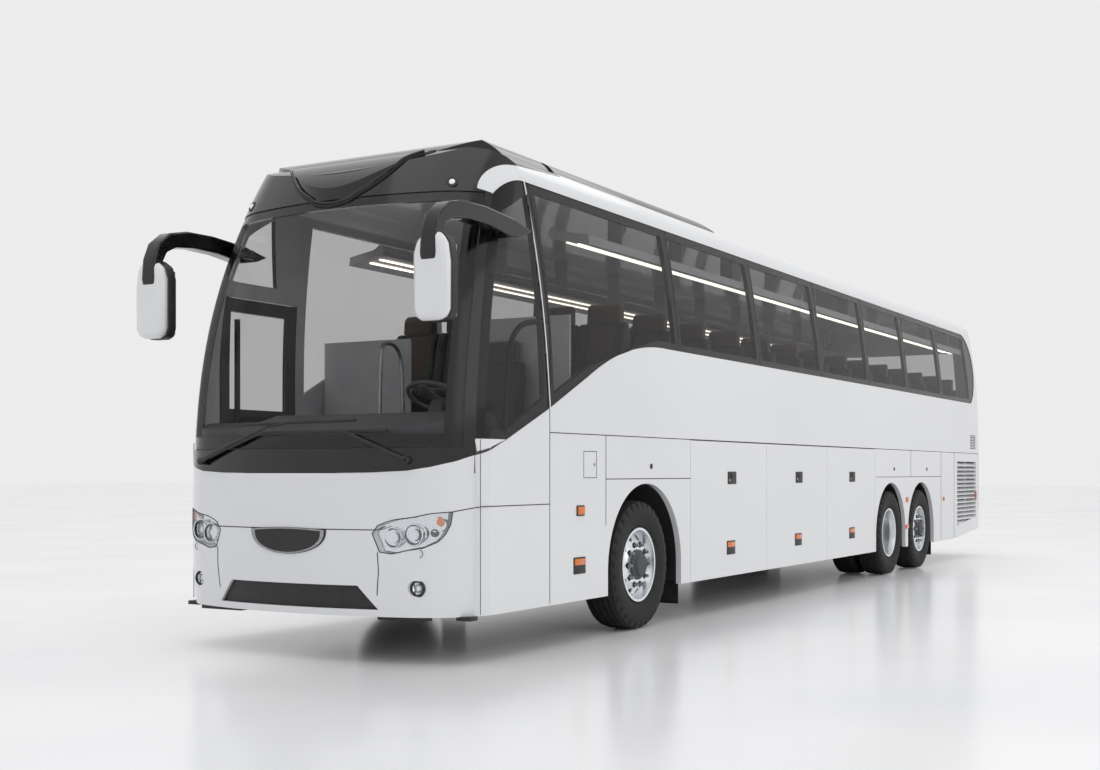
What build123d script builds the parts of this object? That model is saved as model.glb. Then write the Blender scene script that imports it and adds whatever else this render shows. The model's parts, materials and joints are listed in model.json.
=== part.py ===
from build123d import *
import functools
import math
import os

# Three-axle touring coach, in millimetres.
# X runs forward from the front axle, Y to the left and Z up from the road;
# save() moves all of it so that the origin is below the middle of the whole vehicle.

# Body
HALF_WIDTH = 1275
WAIST_Z = 2000          # the sides are plane up to here and lean in above
SIDE_BOW_R = 8500
NOSE_X = 2870
NOSE_Z = 1150           # height of the foremost line of the nose
NOSE_RAKE_R = 4600
NOSE_PLAN_R = 3050
CORNER_R = 560
TAIL_X = -11930
TAIL_Z = 1300
TAIL_RAKE_R = 12000
TAIL_PLAN_R = 9000
TAIL_CORNER_R = 200
CORNER_SPREAD = 12      # the corner rounds run out this far past the side planes
SKIRT_Z = 315
SHOULDER_Z = 3345       # top of the side glass, where the coving starts
ROOF_EDGE_Y = 990
ROOF_EDGE_Z = 3535
ROOF_Z = 3600
WALL = 48
GLASS = 8
SEAT = 0.3              # between fixed panels
DOOR_GAP = 6            # round everything that opens

# Seams of the body panels
BELT_Z = 1557
BUMPER_Z = 891
COWL_Z = 1265
GLASS_Z = 1434          # lower edge of the windscreen
CORNER_X = 2432
CHEEK_Z = 1043          # seam below the driver's window
PILLAR_X = 1510
TAIL_SEAM_X = -11650
LID_Z = 560
LID_TOP_Z = 1760
LID_HALF = 1010

# Windows
BAND_Z = 2306
BAND_TOP_Z = 3335
PANE_SEAMS = [1493, -736, -2623, -4469, -6173, -7844, -9573, -11270]
PANE_GAP = 10
PANE_LEAN = 120         # the top of each seam lies this far ahead of its foot
FRAME_RAIL = 60         # frame behind the black border of each pane
DRIVER_SILL_Z = 1480
SWEEP_R = 3330

# Running gear
TYRE_R = 522
TYRE_W = 295
BEAD_R = 300
WHEEL_Y = 1119
TWIN_PITCH = 340
WHEELBASE = 7050
TAG_PITCH = 1400
KINGPIN_Y = 985
SPINDLE_R = 44
ARCH_R = 680
ARCH_Z = 500
FRONT_ARCH_X = -75
REAR_ARCH_R = 640
PIN_PLAY = 0.5
DISC_Y = 108            # face of a single wheel's disc, outwards from the tyre's middle
DISC_T = 14
LINER_Y = 640           # inner edge of the wheel-arch liners
LINER_T = 10

# Bay doors, three a side
DOOR_SEAMS = [-950, -2775, -4597, -6355]
HINGE_R = 12
ROD_R = 5

# Entrance, front right
ENTRANCE_REAR_X = 1330
ENTRANCE_FRONT_X = 2210
ENTRANCE_TOP_Z = 2620
ARM_X = 2120
ARM_Y = 1130
ARM_REACH = 560
ARM_PIN_R = 10
LEAF_PIN_R = 8

# Inside
DECK_Z = 1500
DECK_T = 40
DRIVER_FLOOR_Z = 1050
SEAT_PITCH = 835
SEAT_ROWS = 13
FIRST_SEAT_X = 250
BAY_FLOOR_Z = 330
DECK_FRONT_X = 1010
STAIR_Y = -490
FAIRING_X = 1060        # the black fairing over the front of the roof ends here
LOUVRE_PITCH = 60

# Mirrors
MIRROR_X = 2900
MIRROR_Y = 1255
MIRROR_DEPTH = 130

# Hinges of the engine lid
EAR_R = 12
LID_PIN_R = 8
LID_HINGE_Y = 520


def half_width(z):
    """Half of the body's width at a height."""
    rise = max(0, z - WAIST_Z)
    return HALF_WIDTH - SIDE_BOW_R + math.sqrt(SIDE_BOW_R ** 2 - rise ** 2)


def nose_x(z):
    """Foremost point of the body at a height."""
    rise = max(0, z - NOSE_Z)
    return NOSE_X - NOSE_RAKE_R + math.sqrt(NOSE_RAKE_R ** 2 - rise ** 2) - 0.11 * max(0, 700 - z)


def tail_x(z):
    """Rearmost point of the body at a height."""
    rise = max(0, z - TAIL_Z)
    return TAIL_X + TAIL_RAKE_R - math.sqrt(TAIL_RAKE_R ** 2 - rise ** 2)


REACH_FRONT = MIRROR_X + MIRROR_DEPTH / 2
REACH_REAR = min(TAIL_X, tail_x(LID_TOP_Z) - 6 - EAR_R)
ORIGIN_SHIFT = -(REACH_FRONT + REACH_REAR) / 2


def front_x(y, z):
    """The nose's surface ahead of a point across and up."""
    y = abs(y)
    side = half_width(z) + CORNER_SPREAD
    centre = nose_x(z) - NOSE_PLAN_R
    corner_x = centre + math.sqrt((NOSE_PLAN_R - CORNER_R) ** 2 - (side - CORNER_R) ** 2)
    if y <= (side - CORNER_R) * NOSE_PLAN_R / (NOSE_PLAN_R - CORNER_R):
        return centre + math.sqrt(NOSE_PLAN_R ** 2 - y ** 2)
    return corner_x + math.sqrt(CORNER_R ** 2 - (y - side + CORNER_R) ** 2)


def at(axis, level, point):
    """A point of an outline that lies square to an axis."""
    u, v = point
    return {"X": (level, u, v), "Y": (u, level, v), "Z": (u, v, level)}[axis]


def outline(axis, level, start, *moves):
    """A face from straight moves (u, v) and arcs ((u, v) on the way, (u, v) at the end)."""
    edges, here = [], start
    for move in (*moves, start):
        if isinstance(move[0], tuple):
            middle, end = move
            edges.append(ThreePointArc(at(axis, level, here), at(axis, level, middle), at(axis, level, end)))
            here = end
        elif math.dist(move, here) > 1e-6:
            edges.append(Line(at(axis, level, here), at(axis, level, move)))
            here = move
    return Face(Wire(edges))


def prism(axis, low, high, start, *moves):
    """A straight solid along an axis from an outline."""
    run = Vector({"X": (1, 0, 0), "Y": (0, 1, 0), "Z": (0, 0, 1)}[axis]) * (high - low)
    return Solid.extrude(outline(axis, low, start, *moves), run)


def block(x0, x1, y0, y1, z0, z1):
    """A box from its lowest and highest corners."""
    return Pos((x0 + x1) / 2, (y0 + y1) / 2, (z0 + z1) / 2) * Box(abs(x1 - x0), abs(y1 - y0), abs(z1 - z0))


def rod(start, end, radius):
    """A round bar between two points."""
    start, end = Vector(*start), Vector(*end)
    way = end - start
    return Solid.make_cylinder(radius, way.length, Plane(origin=start, z_dir=way))


def right(solid):
    """The same piece on the other side of the coach."""
    return mirror(solid, about=Plane.XZ)


def solids_of(shape):
    """The separate solids of a shape or of a list of shapes."""
    if isinstance(shape, (list, tuple)):
        return [solid for item in shape for solid in solids_of(item)]
    return list(shape.solids())


def save(name, *shapes):
    """Write one node, moved from the front axle to the vehicle's own origin."""
    moved = [Pos(ORIGIN_SHIFT, 0, 0) * solid for solid in solids_of(shapes)]
    export_step(moved[0] if len(moved) == 1 else Compound(moved), f"parts/{name}.step")


def plan(z, inset):
    """The body seen from above at a height, wider than the side planes by the corners' spread."""
    y = half_width(z) + CORNER_SPREAD - inset
    corner = CORNER_R - inset
    nose = NOSE_PLAN_R - inset
    centre = nose_x(z) - NOSE_PLAN_R
    corner_x = centre + math.sqrt((nose - corner) ** 2 - (y - corner) ** 2)
    lean = math.atan2(y - corner, corner_x - centre)
    half = (lean + math.pi / 2) / 2
    tip = (centre + nose * math.cos(lean), nose * math.sin(lean))
    bend = (corner_x + corner * math.cos(half), y - corner + corner * math.sin(half))
    rear_corner = TAIL_CORNER_R - inset
    rear = TAIL_PLAN_R - inset
    rear_centre = tail_x(z) + TAIL_PLAN_R
    rear_x = rear_centre - math.sqrt((rear - rear_corner) ** 2 - (y - rear_corner) ** 2)
    rear_lean = math.atan2(y - rear_corner, rear_centre - rear_x)
    rear_half = (rear_lean + math.pi / 2) / 2
    rear_tip = (rear_centre - rear * math.cos(rear_lean), rear * math.sin(rear_lean))
    rear_bend = (rear_x - rear_corner * math.cos(rear_half),
                 y - rear_corner + rear_corner * math.sin(rear_half))
    return outline("Z", z, (corner_x, y), (bend, tip),
                   ((centre + nose, 0), (tip[0], -tip[1])),
                   ((bend[0], -bend[1]), (corner_x, -y)),
                   (rear_x, -y), ((rear_bend[0], -rear_bend[1]), (rear_tip[0], -rear_tip[1])),
                   ((rear_centre - rear, 0), rear_tip),
                   (rear_bend, (rear_x, y)))


def cross_section(inset):
    """The body seen from ahead, with coving and crowned roof."""
    foot = SKIRT_Z - (60 if inset else 0)
    side = HALF_WIDTH - inset
    mid_z = (WAIST_Z + SHOULDER_Z) / 2
    mid, top = half_width(mid_z) - inset, half_width(SHOULDER_Z) - inset
    edge_y, edge_z = ROOF_EDGE_Y - 0.4 * inset, ROOF_EDGE_Z - inset
    bend = (top - 0.25 * (top - edge_y), SHOULDER_Z + 0.68 * (edge_z - SHOULDER_Z))
    return outline("X", TAIL_X - 100, (side, foot), (side, WAIST_Z),
                   ((mid, mid_z), (top, SHOULDER_Z)), (bend, (edge_y, edge_z)),
                   ((0, ROOF_Z - inset), (-edge_y, edge_z)),
                   ((-bend[0], bend[1]), (-top, SHOULDER_Z)),
                   ((-mid, mid_z), (-side, WAIST_Z)), (-side, foot))


def roof_line(inset):
    """The body seen from the side, rounded over at the top of the windscreen and of the tail."""
    slip = 0.7 * inset
    return prism("Y", -HALF_WIDTH - 50, HALF_WIDTH + 50,
                 (NOSE_X + 200, 0), (NOSE_X + 200, 2700),
                 (2470 - inset, 3260 - slip),
                 ((2150 - slip, 3490 - slip), (1450 - slip, ROOF_Z + 20 - inset)),
                 (TAIL_X + 900, ROOF_Z + 20 - inset),
                 ((TAIL_X + 330 + slip, 3530 - slip), (TAIL_X + 140 + inset, 3345 - slip)),
                 (TAIL_X - 200, 2600), (TAIL_X - 200, 0))


@functools.cache
def envelope(inset):
    """The outer form of the body, offset inwards."""
    section = cross_section(inset)
    tube = Solid.extrude(section, Vector(NOSE_X - TAIL_X + 200, 0, 0))
    levels = [200, 700, 1150, 1900, 2600, 3200, 3700]
    outer = Solid.make_loft([plan(z, inset).outer_wire() for z in levels])
    return tube & outer & roof_line(inset)


outer = envelope(0)
under_glass = envelope(GLASS)
frame_face = envelope(GLASS + SEAT)
inner = envelope(WALL)
shell = outer - inner
glass_shell = outer - under_glass

os.makedirs("parts", exist_ok=True)
FAR = HALF_WIDTH + 60
LOW = SKIRT_Z - 80
HIGH = ROOF_Z + 80
AHEAD = NOSE_X + 100
BEHIND = TAIL_X - 100


def left_side(start, *moves):
    """A prism through the left wall from an outline in X and Z."""
    return prism("Y", 400, FAR, start, *moves)


def band(grow, foot):
    """The glazed band of the left side, from the tail to the front pane, grown by a margin."""
    tangent_x = 870 - SWEEP_R * math.sin(math.radians(24))
    rear = PANE_SEAMS[-1] - grow
    top = BAND_TOP_Z + grow
    low = BAND_Z - grow
    front = PANE_SEAMS[0] + grow
    return left_side((rear, low), (tangent_x, low), ((220, 2240 - grow), (870, 2018 - grow)),
                     (front, foot - grow), (front + PANE_LEAN * 1.6, top),
                     (rear + 2 * grow + 272, top), ((rear - 277, 2811), (rear, low)))


# Windows of the left side: one opening in the skin, a frame behind it, and a pane for each bay
sweep_foot = 1738
glazed = band(0, sweep_foot)
side_band = glazed - frame_face


def pane(x_front, x_rear, first, last):
    """One bonded pane between two seams, or its clear part when grown inwards."""
    gap = PANE_GAP / 2
    front, rear = x_front - (0 if first else gap), x_rear + (0 if last else gap)
    return left_side((rear - (400 if last else 0), 1500), (front, 1500), (front, BAND_Z),
                     (front + PANE_LEAN * (1.6 if first else 1), HIGH),
                     (rear + (272 if last else PANE_LEAN) - (400 if last else 0), HIGH),
                     (rear - (400 if last else 0), BAND_Z))


panes = []
band_glass = glass_shell & glazed
for i in range(7):
    cut = pane(PANE_SEAMS[i], PANE_SEAMS[i + 1], i == 0, i == 6)
    panes += solids_of(band_glass & cut)

openings = []
for i in range(7):
    front, rear = PANE_SEAMS[i] - FRAME_RAIL, PANE_SEAMS[i + 1] + FRAME_RAIL
    low, top = BAND_Z + FRAME_RAIL, BAND_TOP_Z - FRAME_RAIL
    lean = PANE_LEAN
    if i == 0:
        openings.append(left_side((rear, low), (-300, low), (870, 2018 + FRAME_RAIL),
                                  (front, sweep_foot + FRAME_RAIL + 40), (front + lean, top),
                                  (rear + lean, top)))
    else:
        openings.append(left_side((rear, low), (front, low), (front + lean, top), (rear + lean, top)))

# Driver's window on the left, the entrance with the pane above it on the right
driver_glass_zone = left_side((PANE_SEAMS[0] + 14, sweep_foot - 6), (2097, DRIVER_SILL_Z + 14),
                              (2423, DRIVER_SILL_Z + 14), ((2310, 2360), (2040, 3190)),
                              ((1890, 3296), (PANE_SEAMS[0] + 14 + PANE_LEAN * 1.6, BAND_TOP_Z)))
driver_rebate = left_side((PANE_SEAMS[0] + 14, sweep_foot - 6), (2097, DRIVER_SILL_Z + 14),
                          (2520, DRIVER_SILL_Z + 14), (2120, 3190), (2040, 3190),
                          ((1890, 3296), (PANE_SEAMS[0] + 14 + PANE_LEAN * 1.6, BAND_TOP_Z)))
driver_opening = left_side((PANE_SEAMS[0] + 80, 1800), (2110, DRIVER_SILL_Z + 75), (2340, DRIVER_SILL_Z + 75),
                           ((2245, 2300), (2000, 3080)), (1670, 3250))
upper_pane_zone = left_side((ENTRANCE_REAR_X + 170, ENTRANCE_TOP_Z + 60), (2190, ENTRANCE_TOP_Z + 60),
                            ((2120, 2930), (2028, 3185)), ((1840, 3295), (1690, BAND_TOP_Z)),
                            (ENTRANCE_REAR_X + 280, BAND_TOP_Z))
upper_opening = left_side((ENTRANCE_REAR_X + 260, ENTRANCE_TOP_Z + 120), (2130, ENTRANCE_TOP_Z + 120),
                          (1990, 3090), (1700, 3260), (ENTRANCE_REAR_X + 350, 3260))

side_zone = left_side((TAIL_SEAM_X + SEAT, BELT_Z + SEAT), (PILLAR_X + SEAT, BELT_Z + SEAT),
                      (PILLAR_X + SEAT, CHEEK_Z + SEAT), (CORNER_X - SEAT, CHEEK_Z + SEAT),
                      (CORNER_X - SEAT, DRIVER_SILL_Z + 10), (2423, DRIVER_SILL_Z + 10),
                      ((2310, 2360), (2040, 3190)), (2036, 3200), ((1903, 3308), (1700, SHOULDER_Z - SEAT)),
                      (TAIL_SEAM_X + SEAT, SHOULDER_Z - SEAT))
side = shell & side_zone
side_left = side - side_band - (driver_rebate - frame_face) - driver_opening
entrance_hole = block(ENTRANCE_REAR_X, ENTRANCE_FRONT_X, 400, FAR, LOW, ENTRANCE_TOP_Z)
side_right = side - entrance_hole - (upper_pane_zone - frame_face) - upper_opening
door_band = left_side((ENTRANCE_REAR_X - 40, 1500), (2500, 1500), (2500, HIGH), (ENTRANCE_REAR_X - 40, HIGH))
side_right = side_right - (side_band - door_band)
for opening in openings:
    side_left = side_left - opening
for opening in openings[1:]:
    side_right = side_right - opening
first_right = left_side((PANE_SEAMS[1] + FRAME_RAIL, BAND_Z + FRAME_RAIL), (-300, BAND_Z + FRAME_RAIL),
                        (870, 2018 + FRAME_RAIL), (ENTRANCE_REAR_X - 110, sweep_foot + 165),
                        (ENTRANCE_REAR_X - 110, BAND_TOP_Z - FRAME_RAIL),
                        (PANE_SEAMS[1] + FRAME_RAIL + PANE_LEAN, BAND_TOP_Z - FRAME_RAIL))
side_right = side_right - first_right
save("side_wall_left", side_left)
save("side_wall_right", right(side_right))
driver_panes = [glass_shell & driver_glass_zone & block(0, 3000, 400, FAR, 1300, 2598),
                glass_shell & driver_glass_zone & block(0, 3000, 400, FAR, 2606, HIGH)]
right_panes = [right(p - door_band) for p in panes] + [right(glass_shell & upper_pane_zone)]

# Roof, with white cheeks that sweep down ahead of it and a black fairing and equipment cover on top
roof_zone = prism("Y", -FAR, FAR, (TAIL_SEAM_X - 400, SHOULDER_Z), (1700, SHOULDER_Z),
                  ((1903.3, 3308.5), (2036.5, 3200.4)), (2115, 3227), ((2000, 3370), (1841, 3431)),
                  (FAIRING_X, 3483), (FAIRING_X, HIGH), (TAIL_SEAM_X - 400, HIGH))
save("roof", shell & roof_zone)
dome = prism("X", 1000, 2300, (-1075, 3380), (-1060, 3490), ((-960, 3602), (-760, 3668)),
             ((0, 3704), (760, 3668)), ((960, 3602), (1060, 3490)), (1075, 3380))
dome &= prism("Y", -FAR, FAR, (FAIRING_X + SEAT, 3380), (FAIRING_X + SEAT, 3704),
              ((1480, 3696), (1760, 3648)), ((2010, 3560), (2190, 3400)), (2190, 3380))
dome &= prism("Z", 3300, 3800, (1000, -1100), (1700, -1100), ((2200, 0), (1700, 1100)), (1000, 1100))
scoop = prism("Y", -FAR, FAR, (1850, 3200), (1850, 3600), (2060, 3545),
               ((2260, 3425), (2400, 3275)), (2400, 3200))
scoop &= prism("Z", 3100, 3700, (1800, -640), (2040, -640), ((2392, 0), (2040, 640)), (1800, 640))
save("roof_pod", dome + scoop - outer)
unit = prism("X", -1990, FAIRING_X - SEAT, (-1085, 3400), (-1070, 3500), ((-990, 3590), (-880, 3634)),
             ((0, 3672), (880, 3634)), ((990, 3590), (1070, 3500)), (1085, 3400))
unit &= prism("Y", -FAR, FAR, (FAIRING_X, 3300), (FAIRING_X, 3700), (-1000, 3690),
              ((-1560, 3640), (-1990, 3540)), (-1990, 3300))
save("roof_unit", unit - outer)

# Lower panels with wheel arches
tail_rise = prism("Y", -FAR, FAR, (-10220, LOW), (-10220, SKIRT_Z), (TAIL_SEAM_X, 416), (TAIL_X - 50, 430),
                  (TAIL_X - 50, LOW))
front_arch = Pos(FRONT_ARCH_X, 0, ARCH_Z) * Rot(90, 0, 0) * Cylinder(ARCH_R, 3000)
front_arch += block(FRONT_ARCH_X - ARCH_R, FRONT_ARCH_X + ARCH_R, -1500, 1500, LOW, ARCH_Z)
rear_arches = [Pos(-WHEELBASE - k * TAG_PITCH, 0, ARCH_Z) * Rot(90, 0, 0) * Cylinder(REAR_ARCH_R, 3000)
               + block(-WHEELBASE - k * TAG_PITCH - REAR_ARCH_R, -WHEELBASE - k * TAG_PITCH + REAR_ARCH_R,
                       -1500, 1500, LOW, ARCH_Z) for k in (0, 1)]
gap = DOOR_GAP / 2
rear_low = shell & block(TAIL_SEAM_X + SEAT, DOOR_SEAMS[-1] - gap, 400, FAR, LOW, BELT_Z)
louvre_hole = left_side((-11580, 600), (-10397, 505), (-10397, 1430), (-11580, 1430))
rear_low = rear_low - tail_rise - rear_arches[0] - rear_arches[1] - louvre_hole
front_zone = left_side((DOOR_SEAMS[0] + gap, LOW), (CORNER_X - SEAT, LOW), (CORNER_X - SEAT, CHEEK_Z),
                       (PILLAR_X, CHEEK_Z), (PILLAR_X, BELT_Z), (DOOR_SEAMS[0] + gap, BELT_Z))
front_low = (shell & front_zone) - front_arch
hinge_y, hinge_z = HALF_WIDTH - HINGE_R, BELT_Z - DOOR_GAP / 2 - HINGE_R
hinge_rod = rod((DOOR_SEAMS[0] + gap, hinge_y, hinge_z), (DOOR_SEAMS[-1] - gap - 30, hinge_y, hinge_z), ROD_R)
rod_seat = rod((DOOR_SEAMS[-1], hinge_y, hinge_z), (DOOR_SEAMS[-1] - gap - 30 - SEAT, hinge_y, hinge_z),
               ROD_R + SEAT)
front_low = front_low + hinge_rod
rear_low = rear_low - rod_seat
save("lower_panels_left", front_low, rear_low)
save("lower_panels_right", [right(s) for s in solids_of(front_low - entrance_hole) + solids_of(rear_low)])

# Louvres beside the engine, and the black liners of the wheel arches
louvres = block(-11580 + SEAT, -11560, HALF_WIDTH - 40, HALF_WIDTH - 4, 400, 1430 - SEAT)
louvres += block(-10417, -10397 - SEAT, HALF_WIDTH - 40, HALF_WIDTH - 4, 400, 1430 - SEAT)
louvres += block(-10995, -10983, HALF_WIDTH - 40, HALF_WIDTH - 20, 400, 1430 - SEAT)
for z in range(520, 1400, LOUVRE_PITCH):
    louvres += prism("X", -11570, -10407, (HALF_WIDTH - 4, z), (HALF_WIDTH - 4, z + 12),
                     (HALF_WIDTH - 36, z + 44), (HALF_WIDTH - 36, z + 38))
louvres &= left_side((-11580 + SEAT, 600 + SEAT), (-10397 - SEAT, 505 + SEAT), (-10397 - SEAT, HIGH),
                     (-11580 + SEAT, HIGH))
save("side_grilles", louvres, right(louvres))
liners = []
for x, radius in ((FRONT_ARCH_X, ARCH_R), (-WHEELBASE, REAR_ARCH_R), (-WHEELBASE - TAG_PITCH, REAR_ARCH_R)):
    liner = prism("Y", LINER_Y, HALF_WIDTH - WALL - SEAT, (x - radius - LINER_T, 340), (x - radius, 340),
                  (x - radius, ARCH_Z), ((x, ARCH_Z + radius), (x + radius, ARCH_Z)), (x + radius, 340),
                  (x + radius + LINER_T, 340), (x + radius + LINER_T, ARCH_Z),
                  ((x, ARCH_Z + radius + LINER_T), (x - radius - LINER_T, ARCH_Z)))
    liners += [liner, right(liner)]
save("wheel_arches", liners)

# Bay doors
for number in range(3):
    x1, x0 = DOOR_SEAMS[number] - gap, DOOR_SEAMS[number + 1] + gap
    barrel = rod((x0, hinge_y, hinge_z), (x1, hinge_y, hinge_z), HINGE_R)
    door = block(x0, x1, HALF_WIDTH - WALL, HALF_WIDTH, SKIRT_Z, hinge_z) + barrel
    door = door - rod((x0 - 9, hinge_y, hinge_z), (x1 + 9, hinge_y, hinge_z), ROD_R + PIN_PLAY)
    save(f"luggage_door_left_{number + 1}", door)
    save(f"luggage_door_right_{number + 1}", right(door))

# Front: bumper, lamps, nose panel, glazed upper half
lamp = [(665, 866), (703, 920), ((820, 960), (940, 976)), ((1040, 1000), (1150, 1011)), (1142, 930),
        ((1120, 870), (1075, 812)), ((1000, 775), (900, 758)), ((800, 735), (715, 746))]
lamp_hole = prism("X", 2200, AHEAD, *lamp)
grille_hole = prism("X", 2200, AHEAD, (-690, 362), (-550, 520), (550, 520), (690, 362))
fog_holes = [rod((2400, side * 950, 508), (AHEAD, side * 950, 508), 52) for side in (1, -1)]
nose = shell & block(CORNER_X, AHEAD, -FAR, FAR, LOW, COWL_Z - SEAT)
nose = nose - lamp_hole - right(lamp_hole) - grille_hole - fog_holes[0] - fog_holes[1]
save("front_bumper", nose & block(0, AHEAD, -FAR, FAR, LOW, BUMPER_Z - SEAT))
save("front_panel", nose & block(0, AHEAD, -FAR, FAR, BUMPER_Z, HIGH))
lenses = glass_shell & prism("X", 2200, AHEAD, *lamp)
save("headlamp_lenses", lenses, right(lenses))
screen_zone = prism("Y", -FAR, FAR, (2504, GLASS_Z), (AHEAD, GLASS_Z), (AHEAD, 3203), (2078, 3203),
                    ((2380, 2340), (2504, GLASS_Z)))
screen_hole = prism("Y", -FAR, FAR, (2560, GLASS_Z + 90), (AHEAD, GLASS_Z + 90), (AHEAD, 3130),
                    (2160, 3130), ((2440, 2300), (2560, GLASS_Z + 90)))
save("windscreen", glass_shell & screen_zone)
face_zone = prism("Y", -FAR, FAR, (CORNER_X, COWL_Z), (AHEAD, COWL_Z), (AHEAD, HIGH),
                  (FAIRING_X + SEAT, HIGH),
                  (FAIRING_X + SEAT, 3483 + SEAT), (1841, 3431 + SEAT),
                  ((2000 + SEAT, 3370 + SEAT), (2115.5, 3227)), (2036.9, 3200.1), (2040.9, 3190),
                  ((2310 + SEAT, 2360), (2423 + SEAT, DRIVER_SILL_Z + 10)),
                  (CORNER_X, DRIVER_SILL_Z + 10))
save("front_frame", (shell & face_zone) - (screen_zone - frame_face) - screen_hole)
back_zone = prism("X", 2200, AHEAD, (600, 700), (600, 1060), (1190, 1060), (1190, 700))
inside = envelope(WALL + SEAT)
deeper = Pos(-24, 0, 0) * inside
lamp_units = (inside - deeper) & back_zone
bowls = [rod((2250, y, z), (2900, y, z), r) for y, z, r in [(800, 850, 62), (945, 868, 62), (1060, 925, 48)]]
for bowl in bowls:
    lamp_units = lamp_units + ((bowl & envelope(WALL / 2)) - deeper)
save("headlamp_units", lamp_units, right(lamp_units))
grille_plate = (envelope(WALL / 2) - inner) & prism("X", 2200, AHEAD, (-689, 362.5), (-549.5, 519.5),
                                                    (549.5, 519.5), (689, 362.5))
save("lower_grille", grille_plate)

# Tail
tail = shell & block(BEHIND, TAIL_SEAM_X, -FAR, FAR, LOW, SHOULDER_Z - SEAT)
tail = tail - tail_rise
lid_zone = block(BEHIND, TAIL_SEAM_X, -LID_HALF, LID_HALF, LID_Z, LID_TOP_Z)
rear_glass_zone = prism("X", BEHIND, TAIL_SEAM_X + 400, (-1000, 2340), (-1060, 2420), (-960, 3180),
                        (960, 3180), (1060, 2420), (1000, 2340))
rear_opening = prism("X", BEHIND, TAIL_SEAM_X + 500, (-930, 2400), (-890, 3110), (890, 3110), (930, 2400))
lamp_zone = [(1075, 700), (1075, 1500), ((1100, 1530), (1130, 1540)), (FAR, 1540), (FAR, 700)]
lamp_block = prism("X", BEHIND, TAIL_SEAM_X - 60, *lamp_zone)
half_wall = envelope(WALL / 2)
upper_tail = tail & block(BEHIND, TAIL_SEAM_X, -FAR, FAR, LID_Z + SEAT, HIGH)
upper_tail = upper_tail - lid_zone - (rear_glass_zone - frame_face) - rear_opening
upper_tail = upper_tail - (lamp_block - half_wall) - (right(lamp_block) - half_wall)
hinge_x = tail_x(LID_TOP_Z) - 6
lugs, ears = [], []
for y in (-LID_HINGE_Y, LID_HINGE_Y):
    pin = rod((hinge_x, y - 40, LID_TOP_Z), (hinge_x, y + 40, LID_TOP_Z), LID_PIN_R)
    lugs.append(pin)
    lugs.append(block(hinge_x - 12, hinge_x + 40, y - 12, y + 12, LID_TOP_Z - 5, LID_TOP_Z + 60))
for lug in lugs:
    upper_tail = upper_tail + (lug - inner)
save("rear_panel", upper_tail)
save("rear_bumper", tail & block(BEHIND, TAIL_SEAM_X, -FAR, FAR, LOW, LID_Z))
lamps = glass_shell & prism("X", BEHIND, TAIL_SEAM_X - 61, (1075.5, 700.5), (1075.5, 1500),
                                                 ((1100, 1529), (1130, 1539.5)), (FAR, 1539.5), (FAR, 700.5))
save("tail_lamps", lamps, right(lamps))
lid = shell & block(BEHIND, TAIL_SEAM_X, -LID_HALF + DOOR_GAP, LID_HALF - DOOR_GAP, LID_Z + DOOR_GAP,
                    LID_TOP_Z - DOOR_GAP)
for y in (-LID_HINGE_Y, LID_HINGE_Y):
    for z_side in (-1, 1):
        ear = block(hinge_x - EAR_R, hinge_x + 36, y + z_side * 18, y + z_side * 38, LID_TOP_Z - 60, LID_TOP_Z)
        ear = ear + rod((hinge_x, y + z_side * 18, LID_TOP_Z), (hinge_x, y + z_side * 38, LID_TOP_Z), EAR_R)
        ear = ear - rod((hinge_x, y - 60, LID_TOP_Z), (hinge_x, y + 60, LID_TOP_Z), LID_PIN_R + PIN_PLAY)
        ears.append(ear)
for ear in ears:
    lid = lid + (ear - block(hinge_x + EAR_R, hinge_x + 60, -900, 900, LID_TOP_Z - DOOR_GAP, HIGH))
save("engine_lid", lid)
rear_glass = glass_shell & rear_glass_zone
save("window_glass", panes, driver_panes, right_panes, rear_glass)


# Wheels: a revolved tyre, and a rim with its disc, hub and hand holes
def turned(*profile):
    """A solid turned about the wheel's axle from an outline in (y, radius)."""
    return revolve(outline("X", 0, *profile), axis=Axis.Y)


bead = BEAD_R - 14
tyre = turned((-117, bead), (-117, BEAD_R + 4), ((-TYRE_W / 2, 400), (-128, 495)), ((-118, 517), (-98, TYRE_R)),
              (98, TYRE_R), ((118, 517), (128, 495)), ((TYRE_W / 2, 400), (117, BEAD_R + 4)), (117, bead))
open_rim = turned((-117 - SEAT, bead - SEAT), (-117 - SEAT, BEAD_R), (-128, BEAD_R), (-128, bead - 6), (-60, 268),
                  (60, 268), (128, bead - 6), (128, BEAD_R), (117 + SEAT, BEAD_R), (117 + SEAT, bead - SEAT))
hand_holes = [Rot(0, k * 36, 0) * rod((225, -300, 0), (225, 300, 0), 27) for k in range(10)]


def disc(face, rise):
    """A dished wheel disc: bolted at a radius of 168 at the face, meeting the barrel beyond."""
    back = face - DISC_T
    return turned((face, SPINDLE_R + 40), (face, 178), ((face + rise * 0.55, 222), (face + rise, 262)),
                  (face + rise, 282), (face + rise - 24, 282), ((back + rise * 0.55 - 2, 216), (back, 176)),
                  (back, SPINDLE_R + 40))


def hub(inner_face, outer_face):
    """The hub from its drum to its cap, bored for the spindle."""
    body = turned((inner_face, 0), (inner_face, 190), (inner_face + 40, 190), (inner_face + 60, 120),
                  (outer_face - 20, 120), (outer_face + 20, 92), (outer_face + 34, 0))
    return body - rod((0, inner_face - 1, 0), (0, outer_face - 30, 0), SPINDLE_R + PIN_PLAY)


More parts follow.
